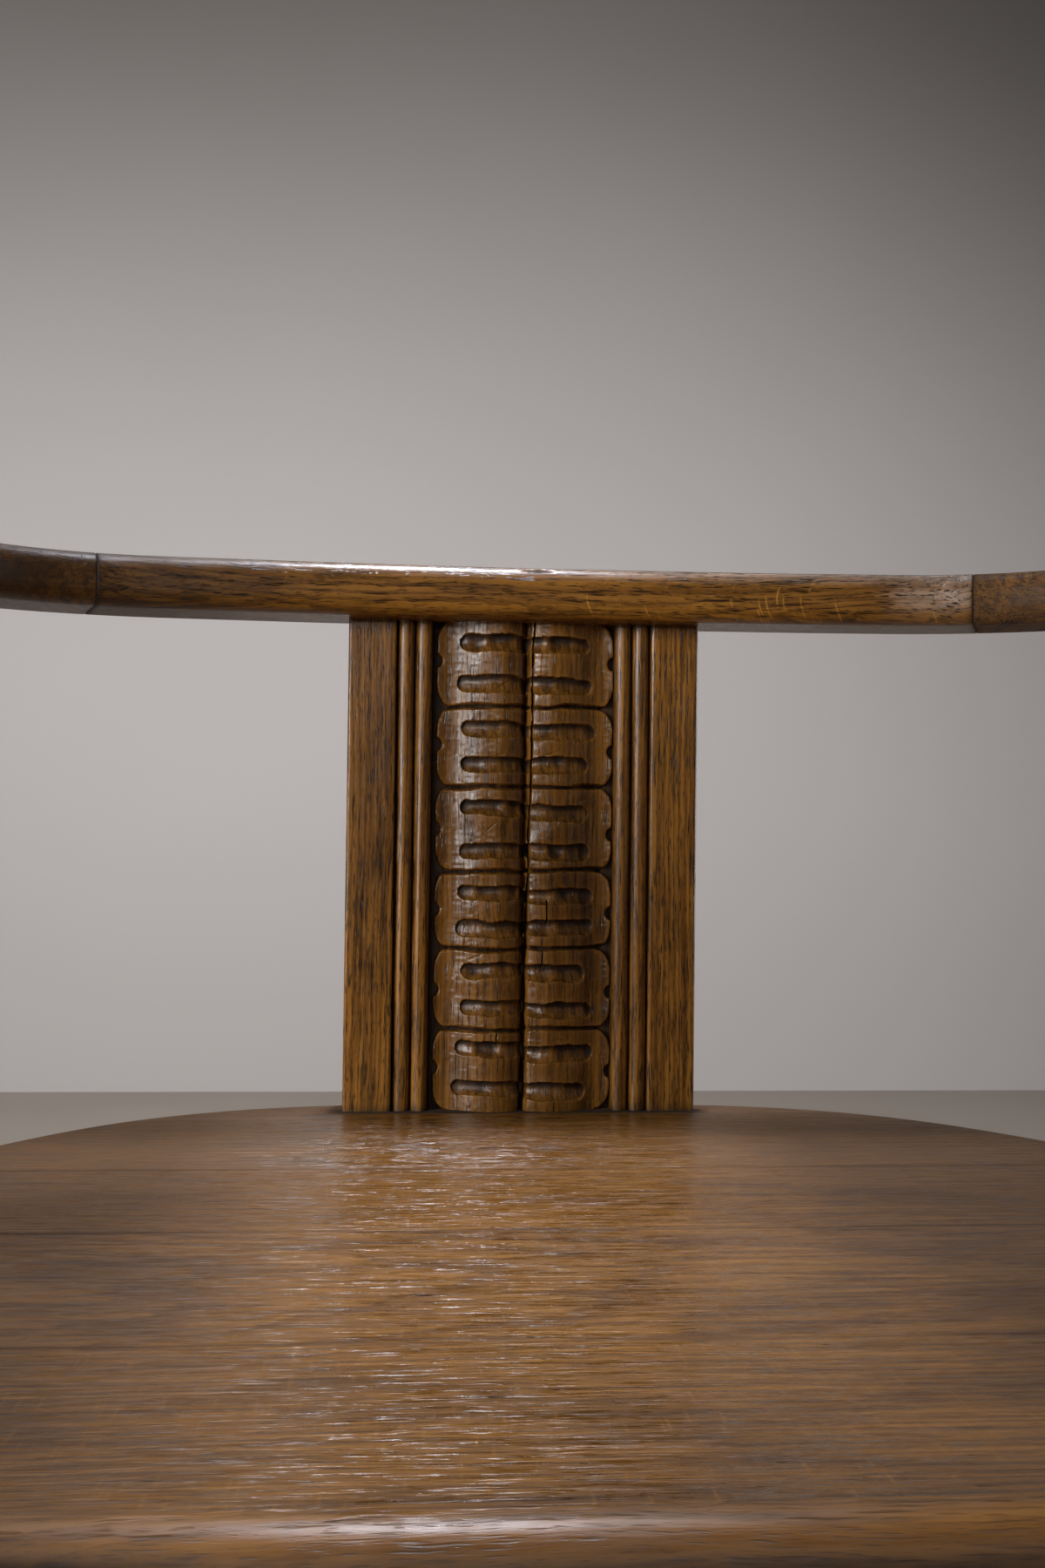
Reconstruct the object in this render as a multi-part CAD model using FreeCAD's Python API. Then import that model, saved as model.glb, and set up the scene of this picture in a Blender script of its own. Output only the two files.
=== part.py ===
import FreeCAD, Part
import math
import os
from FreeCAD import Vector

# Oak swivel armchair with a carved back splat. Millimetres, +Z up, front toward -Y.
# The swivel axis is the Z axis and the floor is Z = 0, shown at the lowest seat height.

# Seat
seat_height = 455.0
seat_depth = 470.0
seat_thickness = 30.0
seat_rear_radius = 480.0
seat_rear_half_span = 90.0
seat_shoulder_radius = 165.0
seat_shoulder_turn = 52.0
seat_side_radius = 360.0
seat_front_corner_radius = 75.0
seat_front_bow_radius = 2500.0
seat_top_round = 12.0
seat_underside_round = 8.0
rear_board_width = 155.0
mid_rear_board_width = 93.0
mid_front_board_width = 112.0

# Carved back splat
splat_width = 152.0
splat_height = 211.0
splat_thickness = 26.0
splat_rear_inset = 8.0
splat_tenon_thickness = 10.0
splat_tenon_shoulder = 16.0
stile_width = 20.5
reed_width = 7.0
reed_gap = 0.8
reed_drop = 0.6
field_depth = 11.0
field_margin = 1.6
ground_overlap = 1.0
tier_count = 6
tier_groove = 1.2
tier_groove_depth = 2.2
tier_corner_radius = 7.0
tier_nick_radius = 2.8
crown_rise = 2.0
crown_dip = 0.7
crown_crest_share = 0.33
crown_lip_drop = 8.0
centre_groove_width = 3.2
centre_groove_depth = 5.0
flute_gouge_radius = 3.5
flute_depth = 2.4
flute_end_margin = 11.5
flute_share = 0.26
flute_fall_power = 2.2

# Back rail and arms
rail_width = 46.0
rail_thickness = 22.0
rail_round = 8.0
rail_front_overhang = 17.0
rail_back_radius = 1700.0
rail_corner_start = 160.0
rail_corner_radius = 95.0
rail_corner_turn = 84.0
rail_right_joint_x = 188.0
rail_left_joint_x = 178.0
arm_side_radius = 700.0
arm_side_length = 212.0
dowel_radius = 4.5
dowel_length = 44.0

# Arm supports
support_width = 84.0
support_thickness = 24.0
support_edge_round = 5.0
support_edge_inset = 12.0
support_tenon_thickness = 10.0
support_tenon_shoulder = 12.0
support_reed_groove_radius = 1.5
support_groove_sink = 0.6
support_groove_margin = 18.5
support_groove_pitch = 6.0
support_groove_count = 3

# Joints in the wood
seat_tenon_depth = 20.0
rail_tenon_depth = 12.0
mortise_clearance = 0.2
dowel_clearance = 0.1
screw_clearance = 0.1
dowel_edge_share = 0.3

# Battens under the seat
batten_width = 44.0
batten_thickness = 24.0
batten_length = 330.0
batten_offset = 95.0
batten_chamfer = 6.0
batten_screw_margin = 25.0
batten_screw_bite_share = 0.6
plate_screw_bite_share = 0.75

# Swivel plate, spindle and height wheel
plate_thickness = 9.0
plate_width = 64.0
plate_end_margin = 24.0
plate_screw_spacing = 36.0
hub_radius = 30.0
hub_height = 56.0
hub_flare_share = 1.5
journal_radius = 12.0
running_clearance = 0.08
washer_thickness = 3.0
washer_radius = 25.0
face_clearance = 0.15
collar_thickness = 10.0
collar_radius = 24.0
stud_radius = 9.0
stud_length = 19.0
nut_across_flats = 30.0
nut_height = 13.0
screw_radius = 16.0
screw_length = 175.0
screw_pitch = 8.0
screw_crest = 3.0
screw_flank = 1.2
screw_depth = 2.0
keyway_width = 6.0
keyway_depth = 4.0
keyway_stop = 14.0
key_clearance = 0.15
key_length = 46.0
key_inset = 8.0
key_seat_depth = 3.0
lift_stop_gap = 2.0
wheel_height = 30.0
wheel_hub_radius = 28.0
wheel_radius = 54.0
wheel_rim_thickness = 15.0
wheel_lobes = 8
wheel_notch_radius = 9.0
wheel_notch_offset = 2.0
wheel_round = 3.0

# Column and its bush
bush_flange_radius = 43.0
bush_flange_thickness = 6.0
bush_wall = 7.0
bush_length = 70.0
bush_screw_circle = 35.0
bush_screw_bite = 16.0
column_bottom = 108.0
column_block_share = 0.517
column_block_apothem = 52.0
column_block_chamfer = 4.0
column_bead_radius = 49.0
column_bead_height = 12.0
column_neck_radius = 36.0
column_cap_radius = 46.0
column_cap_height = 12.0
column_cove_share = 0.38
column_cove_sag = 1.2
column_flare_sag = 1.8
column_flare_dip = 3.5
column_cap_swell = 3.0
column_bore_margin = 2.0

# Legs and the iron tie under them
leg_count = 4
leg_thickness = 42.0
leg_root_margin = 12.0
leg_reach = 286.0
leg_foot_length = 46.0
leg_foot_height = 30.0
leg_flat_length = 54.0
leg_top_bulge = 30.0
leg_under_bulge = 22.0
leg_edge_round = 5.0
leg_toe_round = 9.0
leg_tenon_depth = 20.0
leg_tenon_thickness = 14.0
leg_tenon_shoulder = 14.0
tie_thickness = 4.0
tie_arm_width = 30.0
tie_hub_radius = 47.0
tie_column_screw_circle = 36.0
tie_arm_margin = 12.0
tie_screw_length = 18.0

# Wood screws, countersunk
wood_screw_radius = 2.4
wood_screw_head_radius = 4.8
wood_screw_head_height = 3.0

# Heights and planes that follow from the sizes above
seat_rear_y = seat_depth / 2
seat_front_y = -seat_depth / 2
seat_underside = seat_height - seat_thickness
rear_joint_y = seat_rear_y - rear_board_width
middle_joint_y = rear_joint_y - mid_rear_board_width
front_joint_y = middle_joint_y - mid_front_board_width
splat_back_y = seat_rear_y - splat_rear_inset
splat_front_y = splat_back_y - splat_thickness
rail_underside = seat_height + splat_height
rail_top = rail_underside + rail_thickness
rail_inner_y = splat_front_y - rail_front_overhang
batten_underside = seat_underside - batten_thickness
plate_top = batten_underside
hub_bottom = plate_top - hub_height
washer_top = hub_bottom - face_clearance
washer_bottom = washer_top - washer_thickness
collar_top = washer_bottom - face_clearance
collar_bottom = collar_top - collar_thickness
screw_bottom = collar_bottom - screw_length
wheel_top = collar_bottom - lift_stop_gap
wheel_bottom = wheel_top - wheel_height
flange_top = wheel_bottom - face_clearance
column_top = flange_top - bush_flange_thickness
column_block_height = (column_top - column_bottom) * column_block_share
block_top = column_bottom + column_block_height
column_cove_height = (column_top - block_top) * column_cove_share
leg_root_height = column_block_height - leg_root_margin
bush_bore = screw_radius + running_clearance
bush_outer = bush_bore + bush_wall
support_centre_y = (middle_joint_y + front_joint_y) / 2
band_half = splat_width / 2 - stile_width - 2 * reed_gap - 2 * reed_width - field_margin


def block(x0, x1, y0, y1, z0, z1):
    return Part.makeBox(x1 - x0, y1 - y0, z1 - z0, Vector(x0, y0, z0))


def rod(radius, start, direction, length):
    return Part.makeCylinder(radius, length, start, direction)


def upright(radius, z0, z1, x=0.0, y=0.0):
    return Part.makeCylinder(radius, z1 - z0, Vector(x, y, z0))


def turned(outline):
    # A solid of revolution about Z from (radius, height) edges in the XZ plane.
    return Part.Face(Part.Wire(outline)).revolve(Vector(0, 0, 0), Vector(0, 0, 1), 360)


def line(start, end):
    return Part.makeLine(start, end)


def arc(start, middle, end):
    return Part.Arc(start, middle, end).toShape()


def normal(turn):
    # Outward direction in plan, turning clockwise from the rear (+Y).
    return Vector(math.sin(turn), math.cos(turn), 0)


def heading(turn):
    return Vector(math.cos(turn), -math.sin(turn), 0)


def mirrored(point):
    return Vector(-point.x, point.y, point.z)


def plan_arc(centre, radius, start, end):
    ends = [centre + normal(turn) * radius for turn in (start, (start + end) / 2, end)]
    return [ends, [mirrored(point) for point in ends]]


def edges_at(shape, height):
    return [edge for edge in shape.Edges if all(abs(v.Z - height) < 0.001 for v in edge.Vertexes)]


def join(pieces):
    return pieces[0].fuse(pieces[1:]).removeSplitter()


def around(shape, count, first):
    # Copies of a shape turned about the Z axis.
    copies = []
    for index in range(count):
        copy = shape.copy()
        copy.rotate(Vector(0, 0, 0), Vector(0, 0, 1), first + index * 360.0 / count)
        copies.append(copy)
    return copies


def wood_screw(point, direction, length, clearance=0.0):
    # A countersunk screw whose head lies flush at the point.
    head = Part.makeCone(wood_screw_head_radius + clearance, wood_screw_radius + clearance,
                         wood_screw_head_height, point, direction)
    shank = rod(wood_screw_radius + clearance, point, direction, length + clearance)
    return head.fuse(shank).removeSplitter()


def screws_at(places, direction, length, clearance=0.0):
    return [wood_screw(place, direction, length, clearance) for place in places]


# Seat outline: rear arc, shoulders, sides, front corners and bowed front, all tangent
rear_centre = Vector(0, seat_rear_y - seat_rear_radius, 0)
shoulder_start = math.asin(seat_rear_half_span / seat_rear_radius)
shoulder_end = math.radians(seat_shoulder_turn)
shoulder_centre = rear_centre + normal(shoulder_start) * (seat_rear_radius - seat_shoulder_radius)
side_centre = shoulder_centre + normal(shoulder_end) * (seat_shoulder_radius - seat_side_radius)
front_centre = Vector(0, seat_front_y + seat_front_bow_radius, 0)


def front_corner_centre():
    # The point that lies one corner radius inside both the side arc and the front arc.
    side_gap = seat_side_radius - seat_front_corner_radius
    front_gap = seat_front_bow_radius - seat_front_corner_radius
    between = front_centre - side_centre
    distance = between.Length
    along = (distance ** 2 + side_gap ** 2 - front_gap ** 2) / (2 * distance)
    across = math.sqrt(side_gap ** 2 - along ** 2)
    unit = between / distance
    return side_centre + unit * along + Vector(unit.y, -unit.x, 0) * across


def seat_blank():
    corner = front_corner_centre()
    side_end = math.atan2(corner.x - side_centre.x, corner.y - side_centre.y)
    front_end = math.atan2(corner.x - front_centre.x, corner.y - front_centre.y)
    pairs = [plan_arc(shoulder_centre, seat_shoulder_radius, shoulder_start, shoulder_end),
             plan_arc(side_centre, seat_side_radius, shoulder_end, side_end),
             plan_arc(corner, seat_front_corner_radius, side_end, front_end)]
    rear_right = pairs[0][0][0]
    front_right = pairs[-1][0][2]
    outline = [arc(mirrored(rear_right), Vector(0, seat_rear_y, 0), rear_right)]
    outline += [arc(*right) for right, left in pairs]
    outline.append(arc(front_right, Vector(0, seat_front_y, 0), mirrored(front_right)))
    outline += [arc(*left[::-1]) for right, left in reversed(pairs)]
    face = Part.Face(Part.Wire(outline))
    face.translate(Vector(0, 0, seat_underside))
    solid = face.extrude(Vector(0, 0, seat_thickness))
    solid = solid.makeFillet(seat_top_round, edges_at(solid, seat_height))
    return solid.makeFillet(seat_underside_round, edges_at(solid, seat_underside))


def seat_edge_x(y):
    return side_centre.x + math.sqrt(seat_side_radius ** 2 - (y - side_centre.y) ** 2)


# Rail outline: back arc, corners and arm sides between the inner edge and the outer edge
back_centre = Vector(0, rail_inner_y - rail_back_radius, 0)
corner_start = math.asin(rail_corner_start / rail_back_radius)
corner_end = math.radians(rail_corner_turn)
corner_centre = back_centre + normal(corner_start) * (rail_back_radius - rail_corner_radius)
arm_centre = corner_centre + normal(corner_end) * (rail_corner_radius - arm_side_radius)
arm_end = corner_end + arm_side_length / arm_side_radius
rail_joints = [(1, math.asin((rail_right_joint_x - corner_centre.x) / rail_corner_radius)),
               (-1, math.asin((rail_left_joint_x - corner_centre.x) / rail_corner_radius))]


def rail_blank():
    outer = [plan_arc(corner_centre, rail_corner_radius + rail_width, corner_start, corner_end),
             plan_arc(arm_centre, arm_side_radius + rail_width, corner_end, arm_end)]
    inner = [plan_arc(corner_centre, rail_corner_radius, corner_start, corner_end),
             plan_arc(arm_centre, arm_side_radius, corner_end, arm_end)]
    tip_centre = arm_centre + normal(arm_end) * (arm_side_radius + rail_width / 2)
    tip_middle = tip_centre + heading(arm_end) * (rail_width / 2)
    tip = [outer[1][0][2], tip_middle, inner[1][0][2]]
    right = [arc(*outer[0][0]), arc(*outer[1][0]), arc(*tip),
             arc(*inner[1][0][::-1]), arc(*inner[0][0][::-1])]
    left = [arc(*inner[0][1]), arc(*inner[1][1]), arc(*[mirrored(point) for point in tip[::-1]]),
            arc(*outer[1][1][::-1]), arc(*outer[0][1][::-1])]
    outer_right = outer[0][0][0]
    inner_right = inner[0][0][0]
    back_outer = arc(mirrored(outer_right), Vector(0, rail_inner_y + rail_width, 0), outer_right)
    back_inner = arc(inner_right, Vector(0, rail_inner_y, 0), mirrored(inner_right))
    face = Part.Face(Part.Wire([back_outer] + right + [back_inner] + left))
    face.translate(Vector(0, 0, rail_underside))
    solid = face.extrude(Vector(0, 0, rail_thickness))
    solid = solid.makeFillet(rail_round, edges_at(solid, rail_top))
    return solid.makeFillet(rail_round, edges_at(solid, rail_underside))


def back_rail_region():
    # A prism between the two joint planes, each of which holds its corner's centre.
    ends = []
    for side, turn in rail_joints:
        reach = [corner_centre + normal(turn) * (rail_corner_radius + offset)
                 for offset in (-rail_width, 2 * rail_width)]
        ends.append([Vector(side * point.x, point.y, 0) for point in reach])
    right, left = ends
    face = Part.Face(Part.makePolygon([right[0], right[1], left[1], left[0], right[0]]))
    face.translate(Vector(0, 0, rail_underside - rail_thickness))
    return face.extrude(Vector(0, 0, 3 * rail_thickness))


def rail_dowels(clearance=0.0):
    dowels = []
    for side, turn in rail_joints:
        direction = heading(turn)
        along = Vector(side * direction.x, direction.y, 0)
        for share in (dowel_edge_share, 1 - dowel_edge_share):
            on_joint = corner_centre + normal(turn) * (rail_corner_radius + rail_width * share)
            start = on_joint - direction * (dowel_length / 2 + clearance)
            place = Vector(side * start.x, start.y, (rail_underside + rail_top) / 2)
            dowels.append(rod(dowel_radius + clearance, place, along, dowel_length + 2 * clearance))
    return dowels


# Arm supports lean outward from the seat edge to the middle of the arm
support_foot_x = seat_edge_x(support_centre_y) - support_edge_inset - support_thickness / 2
arm_middle_radius = arm_side_radius + rail_width / 2
support_head_x = arm_centre.x + math.sqrt(arm_middle_radius ** 2 - (support_centre_y - arm_centre.y) ** 2)


def support_tenons(side, clearance=0.0):
    half = support_tenon_thickness / 2 + clearance
    reach = support_width / 2 - support_tenon_shoulder + clearance
    foot = block(side * support_foot_x - half, side * support_foot_x + half, support_centre_y - reach,
                 support_centre_y + reach, seat_height - seat_tenon_depth - clearance, seat_height)
    head = block(side * support_head_x - half, side * support_head_x + half, support_centre_y - reach,
                 support_centre_y + reach, rail_underside, rail_underside + rail_tenon_depth + clearance)
    return [foot, head]


def arm_support(side):
    half_x = support_thickness / 2
    half_y = support_width / 2
    board = block(-half_x, half_x, -half_y, half_y, 0, splat_height)
    upright_edges = [e for e in board.Edges if abs(e.Vertexes[0].Z - e.Vertexes[1].Z) > 1]
    rounded = board.makeFillet(support_edge_round, upright_edges)
    face = [f for f in rounded.Faces if abs(f.BoundBox.ZMax) < 0.001][0]
    face.translate(Vector(side * support_foot_x, support_centre_y, seat_height))
    lean = Vector(side * (support_head_x - support_foot_x), 0, splat_height)
    solid = face.extrude(lean)
    grooves = []
    for edge in (-1, 1):
        for index in range(support_groove_count):
            y = support_centre_y + edge * (half_y - support_groove_margin - index * support_groove_pitch)
            for cheek in (-1, 1):
                x = side * support_foot_x + cheek * (half_x + support_groove_sink)
                circle = Part.makeCircle(support_reed_groove_radius, Vector(x, y, seat_height))
                grooves.append(Part.Face(Part.Wire(circle)).extrude(lean))
    solid = solid.cut(grooves)
    return join([solid] + support_tenons(side))


# Carved splat: a plain board, a sunk field, reeds and a stack of fluted tiers
def splat_tenons(clearance=0.0):
    reach = splat_width / 2 - splat_tenon_shoulder + clearance
    half = splat_tenon_thickness / 2 + clearance
    middle = (splat_front_y + splat_back_y) / 2 + field_depth / 2
    foot = block(-reach, reach, middle - half, middle + half,
                 seat_height - seat_tenon_depth - clearance, seat_height)
    head = block(-reach, reach, middle - half, middle + half,
                 rail_underside, rail_underside + rail_tenon_depth + clearance)
    return [foot, head]


def carved(x, depth, z=0.0):
    # A point on the splat, depth measured out from the flat stiles toward the front.
    return Vector(x, splat_front_y - depth, z)


def both_sides(right):
    # A closed outline from its right half, given as lists of two or three points per edge.
    left = [[mirrored(point) for point in edge[::-1]] for edge in right[::-1]]
    return [line(*edge) if len(edge) == 2 else arc(*edge) for edge in right + left]


def raised(face):
    face.translate(Vector(0, 0, seat_height))
    return face.extrude(Vector(0, 0, splat_height))


def crown_section(half, drop):
    # The ornament in plan: from the ground up to two arched crowns that meet in the middle.
    ground = -field_depth - ground_overlap
    middle = carved(0, crown_rise - crown_dip - drop)
    crest = carved(half * crown_crest_share, crown_rise - drop)
    lip = carved(half, -crown_lip_drop)
    right = [[middle, crest, lip], [lip, carved(half, ground)], [carved(half, ground), carved(0, ground)]]
    return raised(Part.Face(Part.Wire(both_sides(right))))


def tier_outline(z0, z1):
    # One tier seen from the front, with rounded ends and a nick at mid height on each side.
    r = tier_corner_radius
    middle = (z0 + z1) / 2
    bend = r * (1 - math.sqrt(0.5))

    def at(x, z):
        return carved(x, 2 * field_depth, z)

    nick_low = at(band_half, middle - tier_nick_radius)
    nick_high = at(band_half, middle + tier_nick_radius)
    right = [[at(0, z0), at(band_half - r, z0)],
             [at(band_half - r, z0), at(band_half - bend, z0 + bend), at(band_half, z0 + r)],
             [at(band_half, z0 + r), nick_low],
             [nick_low, at(band_half - tier_nick_radius, middle), nick_high],
             [nick_high, at(band_half, z1 - r)],
             [at(band_half, z1 - r), at(band_half - bend, z1 - bend), at(band_half - r, z1)],
             [at(band_half - r, z1), at(0, z1)]]
    return Part.Face(Part.Wire(both_sides(right))).extrude(Vector(0, 4 * field_depth, 0))


def gouge_cut(start, end):
    # A round-ended rod, turned about Z and then laid along its line.
    r = flute_gouge_radius
    length = (end - start).Length
    shoulder = Vector(r, 0, length)
    bend = Vector(r * math.sqrt(0.5), 0, length + r * math.sqrt(0.5))
    point = Vector(0, 0, length + r)
    solid = turned([line(Vector(0, 0, 0), Vector(r, 0, 0)), line(Vector(r, 0, 0), shoulder),
                    arc(shoulder, bend, point), line(point, Vector(0, 0, 0))])
    solid.Placement = FreeCAD.Placement(start, FreeCAD.Rotation(Vector(0, 0, 1), end - start))
    return solid


def flutes(z0, z1):
    # Four gouge cuts across a tier, two each side, each following the fall of the crown.
    inner = carved(0, crown_rise + flute_gouge_radius - flute_depth)
    reach = band_half - flute_end_margin
    fall = crown_lip_drop * (reach / band_half) ** flute_fall_power
    right = carved(reach, crown_rise - fall + flute_gouge_radius - flute_depth)
    cuts = []
    for share in (flute_share, 1 - flute_share):
        lift = Vector(0, 0, z0 + (z1 - z0) * share)
        for outer in (right, mirrored(right)):
            cuts.append(gouge_cut(inner + lift, outer + lift))
    return cuts


def centre_groove():
    half = centre_groove_width / 2
    above = crown_rise + centre_groove_depth
    right = [[carved(0, crown_rise - centre_groove_depth), carved(half, crown_rise)],
             [carved(half, crown_rise), carved(half, above)], [carved(half, above), carved(0, above)]]
    return raised(Part.Face(Part.Wire(both_sides(right))))


def reed(index):
    # One half-round reed beside the field, counted from the stile inward.
    outer = splat_width / 2 - stile_width - reed_gap - index * (reed_width + reed_gap)
    inner = outer - reed_width
    radius = reed_width / 2
    ground = -field_depth - ground_overlap
    foot = [carved(outer, -reed_drop - radius), carved(inner, -reed_drop - radius)]
    edges = [line(carved(outer, ground), foot[0]), arc(foot[0], carved(outer - radius, -reed_drop), foot[1]),
             line(foot[1], carved(inner, ground)), line(carved(inner, ground), carved(outer, ground))]
    return raised(Part.Face(Part.Wire(edges)))


def splat_ornament():
    crown = crown_section(band_half, 0.0)
    tier_height = splat_height / tier_count
    pieces = [crown_section(band_half - tier_corner_radius, tier_groove_depth)]
    cuts = [centre_groove()]
    for index in range(tier_count):
        z0 = seat_height + index * tier_height
        low = z0 + (tier_groove / 2 if index > 0 else 0)
        high = z0 + tier_height - (tier_groove / 2 if index < tier_count - 1 else 0)
        pieces.append(crown.common(tier_outline(low, high)))
        cuts += flutes(z0, z0 + tier_height)
    ornament = join(pieces)
    for cut in cuts:
        ornament = ornament.cut(cut)
    return ornament


def back_splat():
    half = splat_width / 2
    field = half - stile_width
    board = block(-half, half, splat_front_y, splat_back_y, seat_height, rail_underside)
    sunk = block(-field, field, splat_front_y - field_depth, splat_front_y + field_depth,
                 seat_height, rail_underside)
    reeds = [reed(0), reed(1)]
    reeds += [shape.mirror(Vector(0, 0, 0), Vector(1, 0, 0)) for shape in reeds]
    return join([join([board.cut(sunk)] + reeds), splat_ornament()] + splat_tenons())


# Under the seat: battens, swivel plate, spindle and wheel
half_batten = batten_length / 2
batten_screw_rows = [(rear_joint_y + half_batten) / 2, rear_joint_y - batten_screw_margin, support_centre_y,
                     (front_joint_y - half_batten) / 2]
batten_screw_places = [Vector(side * batten_offset, y, batten_underside)
                       for side in (-1, 1) for y in batten_screw_rows]
batten_screw_length = batten_thickness + seat_thickness * batten_screw_bite_share
plate_screw_places = [Vector(side * batten_offset, row * plate_screw_spacing / 2, plate_top - plate_thickness)
                      for side in (-1, 1) for row in (-1, 1)]
plate_screw_length = plate_thickness + batten_thickness * plate_screw_bite_share


def batten(side):
    x0 = side * batten_offset - batten_width / 2
    solid = block(x0, x0 + batten_width, -half_batten, half_batten, batten_underside, seat_underside)
    solid = solid.makeChamfer(batten_chamfer, edges_at(solid, batten_underside))
    holes = screws_at(batten_screw_places, Vector(0, 0, 1), batten_screw_length, screw_clearance)
    holes += screws_at(plate_screw_places, Vector(0, 0, 1), plate_screw_length, screw_clearance)
    return solid.cut(holes)


def seat_plate():
    reach = batten_offset + plate_end_margin
    bar = block(-reach, reach, -plate_width / 2, plate_width / 2, plate_top - plate_thickness, plate_top)
    corners = [e for e in bar.Edges if abs(e.Vertexes[0].Z - e.Vertexes[1].Z) > 1]
    bar = bar.makeFillet(plate_width / 4, corners)
    hub = upright(hub_radius, hub_bottom, plate_top)
    flare_bottom = plate_top - plate_thickness - hub_radius / 2
    flare = Part.makeCone(hub_radius, hub_radius * hub_flare_share, hub_radius / 2,
                          Vector(0, 0, flare_bottom))
    flare = flare.common(block(-reach, reach, -plate_width / 2, plate_width / 2, hub_bottom, plate_top))
    solid = join([bar, hub, flare])
    holes = screws_at(plate_screw_places, Vector(0, 0, 1), plate_screw_length, screw_clearance)
    holes.append(upright(journal_radius + running_clearance, hub_bottom - 1, plate_top + 1))
    return solid.cut(holes)


def spindle():
    # Ring grooves at the screw's pitch stand for its thread.
    root = screw_radius - screw_depth
    points = [(0, screw_bottom), (root, screw_bottom)]
    z = screw_bottom + screw_flank
    while z + screw_pitch < collar_bottom - screw_pitch:
        points += [(root, z), (screw_radius, z + screw_flank), (screw_radius, z + screw_flank + screw_crest),
                   (root, z + 2 * screw_flank + screw_crest)]
        z += screw_pitch
    stud_bottom = plate_top + face_clearance
    points += [(root, z), (screw_radius, z + screw_flank), (screw_radius, collar_bottom),
               (collar_radius, collar_bottom), (collar_radius, collar_top), (journal_radius, collar_top),
               (journal_radius, stud_bottom), (stud_radius, stud_bottom),
               (stud_radius, stud_bottom + stud_length),
               (0, stud_bottom + stud_length), (0, screw_bottom)]
    face = Part.Face(Part.makePolygon([Vector(r, 0, height) for r, height in points]))
    solid = face.revolve(Vector(0, 0, 0), Vector(0, 0, 1), 360)
    slot = block(-keyway_width / 2, keyway_width / 2, screw_radius - keyway_depth, screw_radius + 1,
                 screw_bottom - 1, collar_bottom - keyway_stop)
    return solid.cut(slot)


def ring(inner, outer, z0, z1):
    return upright(outer, z0, z1).cut(upright(inner, z0 - 1, z1 + 1))


def retaining_nut():
    base = plate_top + face_clearance + washer_thickness
    corner = nut_across_flats / 2 / math.cos(math.pi / 6)
    points = [normal(math.pi / 3 * k) * corner + Vector(0, 0, base) for k in range(7)]
    body = Part.Face(Part.makePolygon(points)).extrude(Vector(0, 0, nut_height))
    return body.cut(upright(stud_radius + screw_clearance, base - 1, base + nut_height + 1))


def height_wheel():
    rim_bottom = wheel_bottom + (wheel_height - wheel_rim_thickness) / 2
    rim = upright(wheel_radius, rim_bottom, rim_bottom + wheel_rim_thickness)
    rim_top = rim_bottom + wheel_rim_thickness
    notch = upright(wheel_notch_radius, rim_bottom - 1, rim_top + 1, wheel_radius + wheel_notch_offset)
    rim = rim.cut(around(notch, wheel_lobes, 0))
    outer_edges = edges_at(rim, rim_bottom) + edges_at(rim, rim_bottom + wheel_rim_thickness)
    rim = rim.makeFillet(wheel_round, outer_edges)
    hub = upright(wheel_hub_radius, wheel_bottom, wheel_top)
    solid = join([rim, hub])
    return solid.cut(upright(bush_bore, wheel_bottom - 1, wheel_top + 1))


# Column, bush and key
bush_screw_places = [normal(math.pi / 2 * k) * bush_screw_circle + Vector(0, 0, flange_top) for k in range(4)]
bush_screw_length = bush_flange_thickness + bush_screw_bite
key_top = column_top - key_inset
key_bottom = key_top - key_length


def key_seat(clearance):
    half = keyway_width / 2 - key_clearance + clearance
    return block(-half, half, bush_bore - 1, bush_bore + key_seat_depth + clearance,
                 key_bottom - clearance, key_top + clearance)


def spindle_key():
    half = keyway_width / 2 - key_clearance
    inner = screw_radius - keyway_depth + key_clearance
    return block(-half, half, inner, bush_bore + key_seat_depth, key_bottom, key_top)


def column_bush():
    flange = upright(bush_flange_radius, column_top, flange_top)
    sleeve = upright(bush_outer, column_top - bush_length, flange_top)
    solid = join([flange, sleeve]).cut(upright(bush_bore, column_top - bush_length - 1, flange_top + 1))
    holes = screws_at(bush_screw_places, Vector(0, 0, -1), bush_screw_length, screw_clearance)
    return solid.cut(holes + [key_seat(screw_clearance)])


def leg_tenon(clearance=0.0):
    half = leg_tenon_thickness / 2 + clearance
    return block(column_block_apothem - leg_tenon_depth - clearance, column_block_apothem + clearance,
                 -half, half, column_bottom + leg_tenon_shoulder - clearance,
                 column_bottom + leg_root_height - leg_tenon_shoulder + clearance)


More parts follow.
